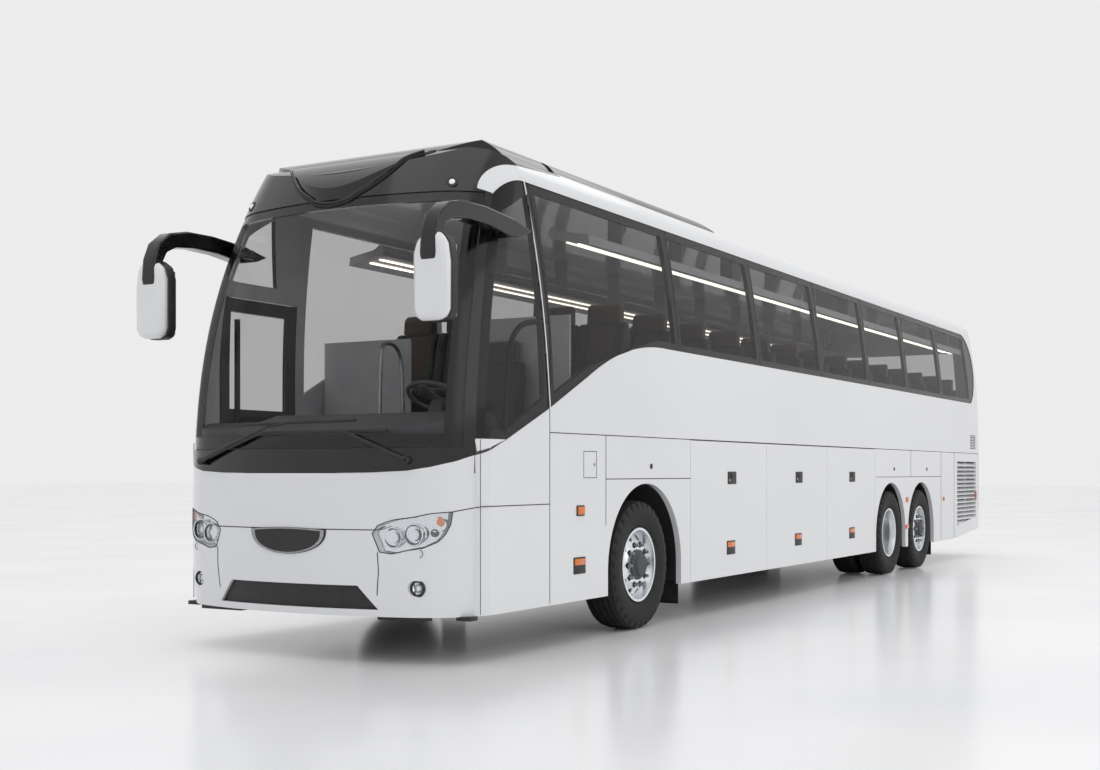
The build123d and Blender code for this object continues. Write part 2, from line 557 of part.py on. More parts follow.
def wheel_set(name, x, twins):
    """One wheel or a pair of twins on each side."""
    place = Pos(x, WHEEL_Y, TYRE_R)
    if twins:
        plate = disc(-TWIN_PITCH / 2 + DISC_T, 60)
        for hole in hand_holes:
            plate = plate - hole
        rim = open_rim + plate + hub(-TWIN_PITCH / 2 - 90, -40)
        rims = rim + Pos(0, -TWIN_PITCH, 0) * right(open_rim + plate)
        tyres = [tyre, Pos(0, -TWIN_PITCH, 0) * tyre]
    else:
        plate = disc(DISC_Y, -62)
        for hole in hand_holes:
            plate = plate - hole
        rims = open_rim + plate + hub(-70, DISC_Y + 10)
        tyres = [tyre]
    save(f"tyre_{name}_left", [place * t for t in tyres])
    save(f"rim_{name}_left", place * rims)
    save(f"tyre_{name}_right", [right(place * t) for t in tyres])
    save(f"rim_{name}_right", right(place * rims))


wheel_set("front", 0, False)
wheel_set("drive", -WHEELBASE, True)
wheel_set("tag", -WHEELBASE - TAG_PITCH, False)

# Steering knuckles and axles
spindle = rod((0, KINGPIN_Y + 10, TYRE_R), (0, WHEEL_Y + 60, TYRE_R), SPINDLE_R)
kingpin = rod((0, KINGPIN_Y, TYRE_R - 120), (0, KINGPIN_Y, TYRE_R + 120), 55)
king_bore = rod((0, KINGPIN_Y, TYRE_R - 121), (0, KINGPIN_Y, TYRE_R + 121), 20 + PIN_PLAY)
steer_arm = block(-190, -40, KINGPIN_Y - 30, KINGPIN_Y + 10, TYRE_R - 100, TYRE_R - 60)
knuckle = spindle + kingpin + steer_arm - king_bore
save("knuckle_left", knuckle)
save("knuckle_right", right(knuckle))
fork = []
for low in (TYRE_R - 171, TYRE_R + 121):
    eye = rod((0, KINGPIN_Y, low), (0, KINGPIN_Y, low + 50), 50)
    fork.append(block(-50, 50, 860, KINGPIN_Y, low, low + 50) + eye)
king_bolt = rod((0, KINGPIN_Y, TYRE_R - 171), (0, KINGPIN_Y, TYRE_R + 171), 20)
beam = block(-70, 70, -870, 870, TYRE_R - 171, TYRE_R - 60)
posts = block(-70, 70, 800, 870, TYRE_R - 171, TYRE_R + 171)
springs = [rod((x, 500, TYRE_R - 80), (x, 500, 780), 110) for x in (-190, 190)]
arms = block(-330, 330, 420, 580, TYRE_R - 150, TYRE_R - 80)
half_axle = posts + fork[0] + fork[1] + king_bolt + arms + springs[0] + springs[1]
front_axle = beam + half_axle + right(half_axle)
save("front_axle", front_axle)
rear_axles = []
for x, track, inner_y in ((-WHEELBASE, WHEEL_Y - TWIN_PITCH / 2 - 30, 560),
                          (-WHEELBASE - TAG_PITCH, WHEEL_Y + 60, 950)):
    tube = rod((x, -inner_y, TYRE_R), (x, inner_y, TYRE_R), 85)
    if x == -WHEELBASE:
        tube = tube + Pos(x, 0, TYRE_R) * Sphere(220)
    spindles = rod((x, -track, TYRE_R), (x, track, TYRE_R), SPINDLE_R)
    axle = tube + spindles
    for y in (-430, 430):
        axle = axle + block(x - 330, x + 330, y - 60, y + 60, TYRE_R - 150, TYRE_R - 60)
        for dx in (-250, 250):
            axle = axle + rod((x + dx, y, TYRE_R - 70), (x + dx, y, 780), 110)
    rear_axles.append(axle)
save("rear_axles", rear_axles)

# Underbody: chassis rails, bay, deck, driver's platform, engine
rails = []
for y0, y1 in ((380, 480), (-480, -380)):
    rails.append(block(DOOR_SEAMS[0] + 30, 2290, y0, y1, 780 + SEAT, 900))
    rails.append(block(TAIL_SEAM_X - 60, DOOR_SEAMS[-1] - 30, y0, y1, 780 + SEAT, 900))
front_chassis = rails[0] + rails[2]
rear_chassis = rails[1] + rails[3]
for x in (-800, -400, 500, 1200, 2100):
    front_chassis = front_chassis + block(x - 40, x + 40, -400, 400, 800, 890)
for x in (-6600, -7750, -9150, -9700, -11500):
    rear_chassis = rear_chassis + block(x - 40, x + 40, -400, 400, 800, 890)
side_in = HALF_WIDTH - WALL - SEAT
for x in (800, 2260):
    front_chassis = front_chassis + block(x - 30, x + 30, -side_in, side_in, 820, 880)
for x in (-6420, -9200, -9700, -11500):
    rear_chassis = rear_chassis + block(x - 30, x + 30, -side_in, side_in, 820, 880)
save("chassis", front_chassis, rear_chassis)
door_in = HALF_WIDTH - WALL - DOOR_GAP
bay = block(DOOR_SEAMS[-1], DOOR_SEAMS[0], -door_in, door_in, BAY_FLOOR_Z, BAY_FLOOR_Z + 30)
for x in (DOOR_SEAMS[0], DOOR_SEAMS[-1] - 30):
    bay = bay + block(x, x + 30, -side_in, side_in, BAY_FLOOR_Z, DECK_Z - DECK_T - SEAT)
for x in DOOR_SEAMS[1:3]:
    bay = bay + block(x - 15, x + 15, -door_in, door_in, BAY_FLOOR_Z, DECK_Z - DECK_T - SEAT)
save("luggage_bay", bay)
deck = block(TAIL_SEAM_X + 50, DECK_FRONT_X, -side_in, side_in, DECK_Z - DECK_T, DECK_Z)
platform = block(DECK_FRONT_X, 2300, STAIR_Y, side_in, DRIVER_FLOOR_Z - DECK_T, DRIVER_FLOOR_Z)
platform += block(2200, 2300, -side_in, STAIR_Y, DRIVER_FLOOR_Z - DECK_T, DRIVER_FLOOR_Z)
riser = block(DECK_FRONT_X - DECK_T, DECK_FRONT_X, -side_in, side_in, 960, DECK_Z)
floor = deck + platform + riser
step_rise = (DRIVER_FLOOR_Z - 350) / 3
tread = (door_in + STAIR_Y) / 3
for k in range(3):
    z, y = 350 + k * step_rise, -door_in + k * tread
    floor += block(DECK_FRONT_X - DECK_T, 2200, y, y + tread, z - 30, z)
    floor += block(DECK_FRONT_X - DECK_T, 2200, y + tread - 20, y + tread, z - 30, z + step_rise)
floor += block(DECK_FRONT_X - DECK_T, DECK_FRONT_X, -door_in, STAIR_Y, 320, DECK_Z)
arm_pin = rod((ARM_X, -ARM_Y, 345), (ARM_X, -ARM_Y, 400), ARM_PIN_R)
save("floor", floor + arm_pin)
save("engine", block(-11450, -9800, -380 + SEAT, 380 - SEAT, 480, 1380))


# Entrance: a door carried out parallel by an arm on an upright column
door_zone = block(ENTRANCE_REAR_X + DOOR_GAP, ENTRANCE_FRONT_X - DOOR_GAP - 3, 400, FAR, LOW,
                  ENTRANCE_TOP_Z - DOOR_GAP)
door_pane = block(ENTRANCE_REAR_X + 60, ENTRANCE_FRONT_X - 60, 400, FAR, 900, ENTRANCE_TOP_Z - 60)
door_rail = block(ENTRANCE_REAR_X, ENTRANCE_FRONT_X, 400, FAR, 1600, 1760)
door_hole = block(ENTRANCE_REAR_X + 110, ENTRANCE_FRONT_X - 110, 400, FAR, 950, ENTRANCE_TOP_Z - 110) - door_rail
leaf = right((shell & door_zone) - (door_pane - frame_face) - door_hole)
leaf_x = ARM_X - ARM_REACH
column = rod((ARM_X, -ARM_Y, 350 + SEAT), (ARM_X, -ARM_Y, 2440), 22)
column = column - rod((ARM_X, -ARM_Y, 340), (ARM_X, -ARM_Y, 401), ARM_PIN_R + PIN_PLAY)
for z in (760, 1680):
    column += block(leaf_x, ARM_X, -ARM_Y - 12, -ARM_Y + 12, z - 20, z + 20)
    column += rod((leaf_x, -ARM_Y, z - 20), (leaf_x, -ARM_Y, z + 20), 24)
    column -= rod((leaf_x, -ARM_Y, z - 21), (leaf_x, -ARM_Y, z + 21), LEAF_PIN_R + PIN_PLAY)
    for low in (z - 36, z + 21):
        leaf += block(leaf_x - 24, leaf_x + 24, -HALF_WIDTH + WALL - 10, -ARM_Y, low, low + 15)
    leaf += rod((leaf_x, -ARM_Y, z - 36), (leaf_x, -ARM_Y, z + 36), LEAF_PIN_R)
save("entrance_door", leaf)
save("entrance_door_glass", right(glass_shell & door_pane))
save("entrance_arm", column)

# Mirrors: an arm that arches forward from the windscreen pillar, and a deep head
arm_z = 2965
path = FilletPolyline((1900, MIRROR_Y, arm_z), (2560, MIRROR_Y, arm_z), (MIRROR_X - 10, MIRROR_Y, arm_z - 120),
                      (MIRROR_X, MIRROR_Y, 2700), radius=150)
arm = sweep(Plane(origin=path @ 0, z_dir=path % 0) * Circle(32), path=path)
foot = rod((2135, MIRROR_Y, arm_z), (2135, MIRROR_Y - 120, arm_z), 28) - outer
head = block(MIRROR_X - MIRROR_DEPTH / 2, MIRROR_X + MIRROR_DEPTH / 2, MIRROR_Y - 100, MIRROR_Y + 100, 2240, 2750)
head = fillet(head.edges(), 38)
mirror_piece = arm + foot + head - outer
save("mirrors", mirror_piece, right(mirror_piece))

# Wipers, parked along the foot of the windscreen
def over_glass(start, end, lift, radius):
    """A round bar that follows the windscreen from one point across and up to another."""
    middle = ((start[0] + end[0]) / 2, (start[1] + end[1]) / 2)
    points = [(front_x(y, z) + lift, y, z) for y, z in (start, middle, end)]
    way = ThreePointArc(*points)
    return sweep(Plane(origin=way @ 0, z_dir=way % 0) * Circle(radius), path=way)


wipers = []
for foot_y, foot_z, tip_y, tip_z, blade_y, end_y in ((905, 1352, 480, 1590, 700, -180),
                                                     (-885, 1352, 330, 1545, 500, -700)):
    x = front_x(foot_y, foot_z)
    pivot = rod((x - 20, foot_y, foot_z), (x + 40, foot_y, foot_z), 24) - outer
    arm = over_glass((foot_y, foot_z), (tip_y, tip_z), 32, 10)
    blade = over_glass((blade_y, tip_z - 12), (end_y, tip_z + 14), 14, 9)
    link = rod((front_x(tip_y, tip_z) + 10, tip_y, tip_z), (front_x(tip_y, tip_z) + 36, tip_y, tip_z), 12)
    wipers.append(pivot + arm + blade + link)
save("wipers", wipers)

# Inside
dash = prism("Y", -600, 1200, (2060, 1120), (2060, 1480), ((2120, 1640), (2300, 1680)), (2740, 1560), (2900, 1300),
             (2500, 1120))
dash += prism("Y", -1200, -600, (2270, 1120), (2270, 1480), (2320, 1640), (2740, 1560), (2900, 1300), (2500, 1120))
dash = dash & inside
rim_plane = Plane(origin=(1960, 620, 1800), z_dir=(-0.45, 0, 0.9))
dash += rim_plane * Torus(225, 16)
dash += rim_plane * (Pos(0, 0, -20) * Box(440, 60, 20))
dash += rod((1960, 620, 1790), (2180, 620, 1390), 45)
dash += block(2050, 2300, 560, 680, DRIVER_FLOOR_Z + SEAT, 1200)
save("dashboard", dash)


def seat(x, y0, y1, floor_z):
    """One seat between two places across the coach, its hip at x."""
    form = [(x + 250, floor_z + 400), ((x + 268, floor_z + 450), (x + 240, floor_z + 490)), (x - 110, floor_z + 470),
            (x - 205, floor_z + 900), ((x - 260, floor_z + 1165), (x - 330, floor_z + 1150)),
            (x - 330, floor_z + 860), (x - 235, floor_z + 380)]
    return prism("Y", y0, y1, *form)


seats = []
for row in range(SEAT_ROWS):
    x = FIRST_SEAT_X - row * SEAT_PITCH
    unit = seat(x, 250, 695, DECK_Z) + seat(x, 705, 1150, DECK_Z)
    unit += block(x - 150, x + 150, 420, 1000, DECK_Z + SEAT, DECK_Z + 430)
    seats += [unit, right(unit)]
bench_x = FIRST_SEAT_X - SEAT_ROWS * SEAT_PITCH - 60
bench = seat(bench_x, -1150, 1150, DECK_Z) + block(bench_x - 150, bench_x + 150, -1100, 1100, DECK_Z + SEAT,
                                                   DECK_Z + 430)
driver = seat(1420, 380, 860, DRIVER_FLOOR_Z + 60)
driver += block(1300, 1560, 470, 770, DRIVER_FLOOR_Z + SEAT, DRIVER_FLOOR_Z + 480)
save("seats", seats, bench, driver)
racks = []
rack_form = [(1180, 3030), (840, 3100), ((800, 3150), (840, 3190)), (900, 3150), (1180, 3100)]
rack = prism("X", -11300, 700, *rack_form)
for x in range(-11000, 700, 1200):
    rack += prism("X", x, x + 30, (870, 3120), (870, HIGH), (1000, HIGH), (1000, 3100))
rack = rack & inside
save("luggage_racks", rack, right(rack))
walls = [block(1060, 1085, 330, 1200, DRIVER_FLOOR_Z + SEAT, 2450) & inside,
         block(960, 985, -1200, -330, DECK_Z + SEAT, 2350) & inside]
save("partitions", walls)
flaps = []
for x in (-800, -9130):
    flap = block(x, x + 8, 960, side_in, 140, 700)
    flaps += [flap, right(flap)]
save("mudflaps", flaps)
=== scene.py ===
import json
import math
import bpy
from mathutils import Matrix, Vector
from mathutils.bvhtree import BVHTree


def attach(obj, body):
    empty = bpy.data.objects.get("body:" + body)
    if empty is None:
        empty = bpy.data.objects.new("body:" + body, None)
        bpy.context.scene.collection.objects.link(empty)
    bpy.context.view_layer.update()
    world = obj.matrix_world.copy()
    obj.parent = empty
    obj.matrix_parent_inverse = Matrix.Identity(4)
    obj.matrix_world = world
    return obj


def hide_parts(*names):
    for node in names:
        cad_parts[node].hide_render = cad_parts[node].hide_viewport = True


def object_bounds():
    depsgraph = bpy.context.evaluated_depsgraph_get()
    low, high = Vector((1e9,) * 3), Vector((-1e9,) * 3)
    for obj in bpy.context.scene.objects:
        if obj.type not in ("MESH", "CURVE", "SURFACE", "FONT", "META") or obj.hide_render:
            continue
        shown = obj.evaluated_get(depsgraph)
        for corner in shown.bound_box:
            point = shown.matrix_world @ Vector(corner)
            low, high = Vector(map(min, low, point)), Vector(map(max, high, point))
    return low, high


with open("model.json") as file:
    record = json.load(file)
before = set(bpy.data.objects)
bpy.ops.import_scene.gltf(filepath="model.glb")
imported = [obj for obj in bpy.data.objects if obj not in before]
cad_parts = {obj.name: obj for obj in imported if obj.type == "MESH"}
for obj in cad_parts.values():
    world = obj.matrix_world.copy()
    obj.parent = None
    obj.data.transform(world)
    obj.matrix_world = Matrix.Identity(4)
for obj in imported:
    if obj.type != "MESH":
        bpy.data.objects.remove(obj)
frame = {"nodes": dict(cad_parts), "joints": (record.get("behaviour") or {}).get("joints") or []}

bl_info = {
    "name": "Touring coach",
    "version": (1, 0, 0),
    "blender": (4, 5, 0),
    "location": "View3D > Sidebar > Coach",
    "description": "Dresses a three-axle touring coach: glazing, lamps, wheels, seats and trim",
    "category": "Object",
}

cad_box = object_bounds()
NODES = frame["nodes"]
JOINTS = {joint["name"]: joint for joint in frame["joints"]}
AXLE = JOINTS["steering_left"]["pos_m"][0]
HALF = 1.275
SIDES = (("left", 1), ("right", -1))
WHEELS = (("front", 0.0), ("drive", -7.05), ("tag", -8.45))
WHEEL_Y = 1.119
HUB_Z = 0.522
TWIN = 0.34
NUMBERS = (1, 2, 3)
DECK_Z = 1.500
CAB_Z = 1.110
# How deep the outer paint and the black rebates of the glass reach
SKIN, REBATE = 0.0045, 0.040
# The shell: its sides bow above 2 m; the nose is round in plan, at its corners and in its profile
BOW_Z, BOW_R = 2.0, 8.5
NOSE_X, RAKE_Z, RAKE_R = 2.87, 1.15, 4.6
PLAN_R, CORNER_R = 3.05, 0.56
NOSE_NODES = ("front_bumper", "front_panel", "front_frame", "windscreen", "headlamp_lenses")
MIRROR = Matrix.Scale(-1, 4, (0, 1, 0))


def half_width(z):
    """Half of the body's width at a height: plane to 2 m and bowed inwards above."""
    rise = max(0.0, z - BOW_Z)
    return HALF - BOW_R + math.sqrt(BOW_R ** 2 - rise ** 2)


def linear(code):
    """An sRGB hex colour, or a linear colour property, as linear RGBA."""
    if not isinstance(code, str):
        return (*code, 1.0)
    parts = [int(code[i:i + 2], 16) / 255 for i in (1, 3, 5)]
    return (*[c / 12.92 if c <= 0.04045 else ((c + 0.055) / 1.055) ** 2.4 for c in parts], 1.0)


# Materials
def add_node(tree, kind, settings=None, links=None):
    """Add a node with its settings and its input links."""
    made = tree.nodes.new(kind)
    for key, value in (settings or {}).items():
        if hasattr(made, key):
            setattr(made, key, value)
        else:
            made.inputs[key].default_value = value
    for key, source in (links or {}).items():
        tree.links.new(source, made.inputs[key])
    return made


def finish_of(name, colour, roughness, metallic=0.0, bump=None, coat=0.0, alpha=1.0, ior=None, vary=None,
              glow=0.0, sheen=0.0):
    """A material: a flat or varied colour, a bump at a real scale and the shader's own gloss."""
    material = bpy.data.materials.new(name)
    material.use_nodes = True
    tree = material.node_tree
    shader = tree.nodes["Principled BSDF"]
    values = {"Base Color": linear(colour), "Roughness": roughness, "Metallic": metallic, "Alpha": alpha,
              "Coat Weight": coat, "Coat Roughness": 0.04, "Sheen Weight": sheen}
    if ior:
        values["IOR"] = ior
    if glow:
        values.update({"Emission Color": linear(colour), "Emission Strength": glow})
    for key, value in values.items():
        shader.inputs[key].default_value = value
    place = add_node(tree, "ShaderNodeTexCoord")
    if vary:
        other, size, low, high = vary
        cloud = add_node(tree, "ShaderNodeTexNoise", {"Scale": 1 / size, "Detail": 4.0},
                         {"Vector": place.outputs["Object"]})
        ramp = add_node(tree, "ShaderNodeMapRange", {"From Min": low, "From Max": high},
                        {"Value": cloud.outputs["Fac"]})
        mix = add_node(tree, "ShaderNodeMix", {"data_type": "RGBA"})
        tree.links.new(ramp.outputs["Result"], mix.inputs[0])
        mix.inputs[6].default_value = linear(colour)
        mix.inputs[7].default_value = linear(other)
        tree.links.new(mix.outputs[2], shader.inputs["Base Color"])
    if bump:
        size, depth = bump
        grain = add_node(tree, "ShaderNodeTexNoise", {"Scale": 1 / size, "Detail": 3.0},
                         {"Vector": place.outputs["Object"]})
        relief = add_node(tree, "ShaderNodeBump", {"Strength": 0.6, "Distance": depth},
                          {"Height": grain.outputs["Fac"]})
        tree.links.new(relief.outputs["Normal"], shader.inputs["Normal"])
    return material


M = {}


def make_materials(colours):
    """The finishes of the real coach."""
    # Two-pack polyurethane enamel, sprayed: deep gloss with a faint orange peel
    M["paint"] = finish_of("sprayed_white_enamel", colours.body_paint, 0.26, coat=0.6, bump=(0.012, 0.00004),
                           vary=("#DBDCDE", 2.5, 0.35, 0.75))
    # Gloss black glass-fibre mouldings round the windscreen
    M["black"] = finish_of("black_gelcoat", colours.front_black, 0.12, coat=0.1, bump=(0.02, 0.00004),
                           vary=("#121214", 0.4, 0.4, 0.7))
    # Body-tinted safety glass, seen twice through each pane
    M["glass"] = finish_of("grey_tinted_glass", colours.glass_tint, 0.02, alpha=0.25, ior=1.52)
    M["screen"] = finish_of("laminated_windscreen", "#15171A", 0.02, alpha=0.10, ior=1.52)
    M["frit"] = finish_of("ceramic_black_border", "#08080A", 0.18, vary=("#101012", 0.3, 0.4, 0.7))
    # Injection-moulded lamp covers
    M["lens"] = finish_of("clear_polycarbonate", "#E8EEF2", 0.02, alpha=0.10, ior=1.58)
    M["amber"] = finish_of("amber_polycarbonate", "#D9711A", 0.12, ior=1.58, bump=(0.004, 0.0004))
    M["red"] = finish_of("red_polycarbonate", "#8E0B0C", 0.12, ior=1.58, bump=(0.004, 0.0004))
    M["chrome"] = finish_of("vacuum_metallised_reflector", "#E4E7EA", 0.07, metallic=1.0, bump=(0.02, 0.0002))
    M["bulb"] = finish_of("frosted_lamp_glass", "#F3F6FA", 0.1, coat=0.4, bump=(0.01, 0.0002))
    # Forged and polished aluminium wheels
    M["rim"] = finish_of("polished_forged_aluminium", "#ECEEF0", 0.25, metallic=0.85, bump=(0.03, 0.00001),
                         vary=("#E0E3E6", 0.2, 0.3, 0.8))
    M["nut"] = finish_of("zinc_plated_steel", "#B4B6B8", 0.3, metallic=1.0, vary=("#6E7072", 0.01, 0.3, 0.8))
    M["rubber"] = finish_of("moulded_tyre_rubber", "#0B0C0C", 0.72, bump=(0.004, 0.0004),
                            vary=("#18191A", 0.06, 0.35, 0.7))
    M["seal"] = finish_of("extruded_rubber_seal", "#0E0E0F", 0.6, bump=(0.003, 0.0002))
    M["grained"] = finish_of("grained_black_abs", "#1B1C1D", 0.5, bump=(0.0025, 0.0005),
                             vary=("#222324", 0.1, 0.4, 0.7))
    M["steel"] = finish_of("chassis_black_paint", "#1A1B1C", 0.5, bump=(0.01, 0.0005),
                           vary=("#262728", 0.1, 0.3, 0.8))
    M["dash"] = finish_of("soft_touch_dashboard", "#4A4B4D", 0.6, bump=(0.003, 0.0005),
                          vary=("#434446", 0.2, 0.4, 0.7))
    M["lino"] = finish_of("speckled_floor_vinyl", "#5A5B5D", 0.55, bump=(0.004, 0.0002),
                          vary=("#3F4042", 0.006, 0.45, 0.6))
    M["trim"] = finish_of("needled_trim_fabric", "#8F9092", 0.85, bump=(0.003, 0.0006),
                          vary=("#7E7F81", 0.01, 0.4, 0.7))
    M["pale"] = finish_of("moulded_grey_lining", "#B9BABB", 0.5, bump=(0.003, 0.0003),
                          vary=("#AFB0B2", 0.3, 0.4, 0.7))
    M["brown"] = finish_of("brown_moquette", colours.seat_cloth, 0.95, bump=(0.003, 0.001),
                           vary=("#41362E", 0.008, 0.4, 0.65), sheen=0.3)
    M["hide"] = finish_of("black_seat_leather", colours.seat_hide, 0.5, bump=(0.004, 0.0006),
                          vary=("#28282A", 0.03, 0.4, 0.7))
    M["light"] = finish_of("opal_light_strip", "#FFF6E6", 0.4, glow=2.2)
    M["gap"] = finish_of("shadow_gap", "#2A2B2D", 0.8, vary=("#1F2022", 0.05, 0.4, 0.7))
    M["mirror"] = finish_of("silvered_mirror_glass", "#D6DADD", 0.02, metallic=1.0,
                            vary=("#CDD2D6", 0.2, 0.4, 0.7))
    M["floor"] = finish_of("pale_studio_floor", "#F7F7F8", 0.2, bump=(0.5, 0.0002),
                           vary=("#EDEEEF", 3.0, 0.4, 0.7))


def dress(node, *names):
    """Give a CAD node its finishes, in the order of its material slots."""
    data = NODES[node].data
    data.materials.clear()
    for name in names:
        data.materials.append(M[name])
    return data


# Modelling helpers: each adds a primitive, shapes it and leaves its place in its mesh
def only(piece):
    """Select one piece and nothing else."""
    bpy.ops.object.select_all(action="DESELECT")
    piece.select_set(True)
    bpy.context.view_layer.objects.active = piece


def settle(piece, material, smooth=35):
    """Apply the piece's place, smooth it up to an angle and give it a finish."""
    only(piece)
    bpy.ops.object.transform_apply(location=True, rotation=True, scale=True)
    bpy.ops.object.mode_set(mode="EDIT")
    bpy.ops.mesh.select_all(action="SELECT")
    bpy.ops.mesh.normals_make_consistent(inside=False)
    bpy.ops.object.mode_set(mode="OBJECT")
    bpy.ops.object.shade_smooth_by_angle(angle=math.radians(smooth))
    piece.data.materials.clear()
    piece.data.materials.append(M[material])
    return piece


def bevelled(piece, width, segments=2):
    """Round every sharp edge with an applied bevel."""
    only(piece)
    modifier = piece.modifiers.new("round", "BEVEL")
    modifier.width = width
    modifier.segments = segments
    modifier.limit_method = "ANGLE"
    bpy.ops.object.modifier_apply(modifier="round")
    return piece


def slab(low, high, material, bevel=0.004, segments=2):
    """A bevelled box between two corners."""
    bpy.ops.object.select_all(action="DESELECT")
    middle = [(a + b) / 2 for a, b in zip(low, high)]
    bpy.ops.mesh.primitive_cube_add(size=1, location=middle)
    piece = bpy.context.object
    piece.scale = [abs(b - a) for a, b in zip(low, high)]
    bpy.ops.object.transform_apply(location=True, rotation=True, scale=True)
    if bevel:
        bevelled(piece, bevel, segments)
    return settle(piece, material)


def drum(start, end, radius, material, bevel=0.0, sides=32, tip=None):
    """A round bar or cone between two points with rounded rims."""
    bpy.ops.object.select_all(action="DESELECT")
    start, end = Vector(start), Vector(end)
    way = end - start
    bpy.ops.mesh.primitive_cone_add(vertices=sides, radius1=radius, radius2=radius if tip is None else tip,
                                    depth=way.length, location=(start + end) / 2)
    piece = bpy.context.object
    piece.rotation_mode = "QUATERNION"
    piece.rotation_quaternion = way.to_track_quat("Z", "Y")
    bpy.ops.object.transform_apply(location=True, rotation=True, scale=True)
    if bevel:
        bevelled(piece, bevel)
    return settle(piece, material)


def plate(points, push, material, bevel=0.0, smooth=35):
    """A flat outline of 3D points, filled and extruded by a vector."""
    bpy.ops.object.select_all(action="DESELECT")
    bpy.ops.mesh.primitive_circle_add(vertices=len(points), radius=1)
    piece = bpy.context.object
    for vertex, point in zip(piece.data.vertices, points):
        vertex.co = point
    bpy.ops.object.mode_set(mode="EDIT")
    bpy.ops.mesh.select_all(action="SELECT")
    bpy.ops.mesh.edge_face_add()
    bpy.ops.mesh.extrude_region_move(TRANSFORM_OT_translate={"value": push})
    bpy.ops.object.mode_set(mode="OBJECT")
    settle(piece, material, smooth)
    if bevel:
        bevelled(piece, bevel)
        settle(piece, material, smooth)
    return piece


def lathe(profile, centre, axis, material, steps=64, smooth=35):
    """Spin an outline of (along, radius) about an axis through a centre."""
    bpy.ops.object.select_all(action="DESELECT")
    bpy.ops.mesh.primitive_circle_add(vertices=len(profile), radius=1)
    piece = bpy.context.object
    centre, axis = Vector(centre), Vector(axis).normalized()
    across = axis.orthogonal().normalized()
    for vertex, (along, radius) in zip(piece.data.vertices, profile):
        vertex.co = centre + axis * along + across * radius
    bpy.ops.object.mode_set(mode="EDIT")
    bpy.ops.mesh.select_all(action="SELECT")
    bpy.ops.mesh.spin(steps=steps, angle=2 * math.pi, center=centre, axis=axis)
    bpy.ops.mesh.select_all(action="SELECT")
    bpy.ops.mesh.remove_doubles(threshold=0.00005)
    bpy.ops.object.mode_set(mode="OBJECT")
    return settle(piece, material, smooth)


def tube(points, radius, material, radii=None, smooth_path=True, sides=4):
    """A bar along a smooth curve through given points, converted to a mesh."""
    bpy.ops.object.select_all(action="DESELECT")
    curve = bpy.data.curves.new("bar", "CURVE")
    curve.dimensions = "3D"
    line = curve.splines.new("NURBS" if smooth_path else "POLY")
    line.points.add(len(points) - 1)
    for i, point in enumerate(points):
        line.points[i].co = (*point, 1)
        line.points[i].radius = radii[i] if radii else 1
    if smooth_path:
        line.order_u = 3
        line.use_endpoint_u = True
    curve.bevel_depth = radius
    curve.bevel_resolution = sides
    curve.use_fill_caps = True
    piece = bpy.data.objects.new("bar", curve)
    bpy.context.scene.collection.objects.link(piece)
    only(piece)
    bpy.ops.object.convert(target="MESH")
    return settle(bpy.context.object, material)


def copied(piece, matrix):
    """A copy with its own mesh, moved by a matrix."""
    other = piece.copy()
    other.data = piece.data.copy()
    other.data.transform(matrix)
    if matrix.determinant() < 0:
        other.data.flip_normals()
    bpy.context.scene.collection.objects.link(other)
    return other


def merged(pieces):
    """Join pieces into the first of them."""
    only(pieces[0])
    for piece in pieces[1:]:
        piece.select_set(True)
    if len(pieces) > 1:
        bpy.ops.object.join()
    return pieces[0]


def joined(pieces, name, body, slot, *nodes):
    """Join pieces, name the result, and let it ride on a body in place of any nodes."""
    piece = merged(pieces)
    piece.name = name
    piece.data.name = name
    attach(piece, body)
    if nodes:
        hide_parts(*nodes)
    return piece


def both_sides(pieces):
    """The pieces and their mirror images."""
    return pieces + [copied(piece, MIRROR) for piece in pieces]


_trees = {}


def surface(names, start, direction):
    """Where a ray from a point meets some CAD nodes."""
    key = tuple(names)
    if key not in _trees:
        corners, faces = [], []
        for name in names:
            data = NODES[name].data
            offset = len(corners)
            corners += [v.co.copy() for v in data.vertices]
            faces += [[offset + i for i in p.vertices] for p in data.polygons]
        _trees[key] = BVHTree.FromPolygons(corners, faces)
    return _trees[key].ray_cast(Vector(start), Vector(direction))[0]


def nose_x(y, z):
    """The nose's surface, ahead of the front axle, across and up."""
    rise = max(0.0, z - RAKE_Z)
    y = abs(y)
    side = half_width(z) + 0.012
    centre = NOSE_X - RAKE_R + math.sqrt(RAKE_R ** 2 - rise ** 2) - 0.11 * max(0.0, 0.7 - z) - PLAN_R
    if y <= (side - CORNER_R) * PLAN_R / (PLAN_R - CORNER_R):
        return centre + math.sqrt(PLAN_R ** 2 - y ** 2)
    corner = centre + math.sqrt((PLAN_R - CORNER_R) ** 2 - (side - CORNER_R) ** 2)
    return corner + math.sqrt(max(0.0, CORNER_R ** 2 - (y - side + CORNER_R) ** 2))


def on_nose(y, z, lift=0.0):
    """A point on the nose, lifted forwards."""
    x = AXLE + nose_x(y, z)
    hit = surface(NOSE_NODES, (AXLE + 4, y, z), (-1, 0, 0))
    if hit and abs(hit.x - x) < 0.012:
        x = hit.x
    return Vector((x + lift, y, z))


def skin(low, high, material, thickness=0.0015):
    """A thin sheet between two rows of points."""
    count = len(low)
    mesh = bpy.data.meshes.new("skin")
    mesh.from_pydata([*low, *high], [], [(i, i + 1, count + i + 1, count + i) for i in range(count - 1)])
    piece = bpy.data.objects.new("skin", mesh)
    bpy.context.scene.collection.objects.link(piece)
    only(piece)
    modifier = piece.modifiers.new("wall", "SOLIDIFY")
    modifier.thickness = thickness
    modifier.offset = 0
    bpy.ops.object.modifier_apply(modifier="wall")
    return settle(piece, material)


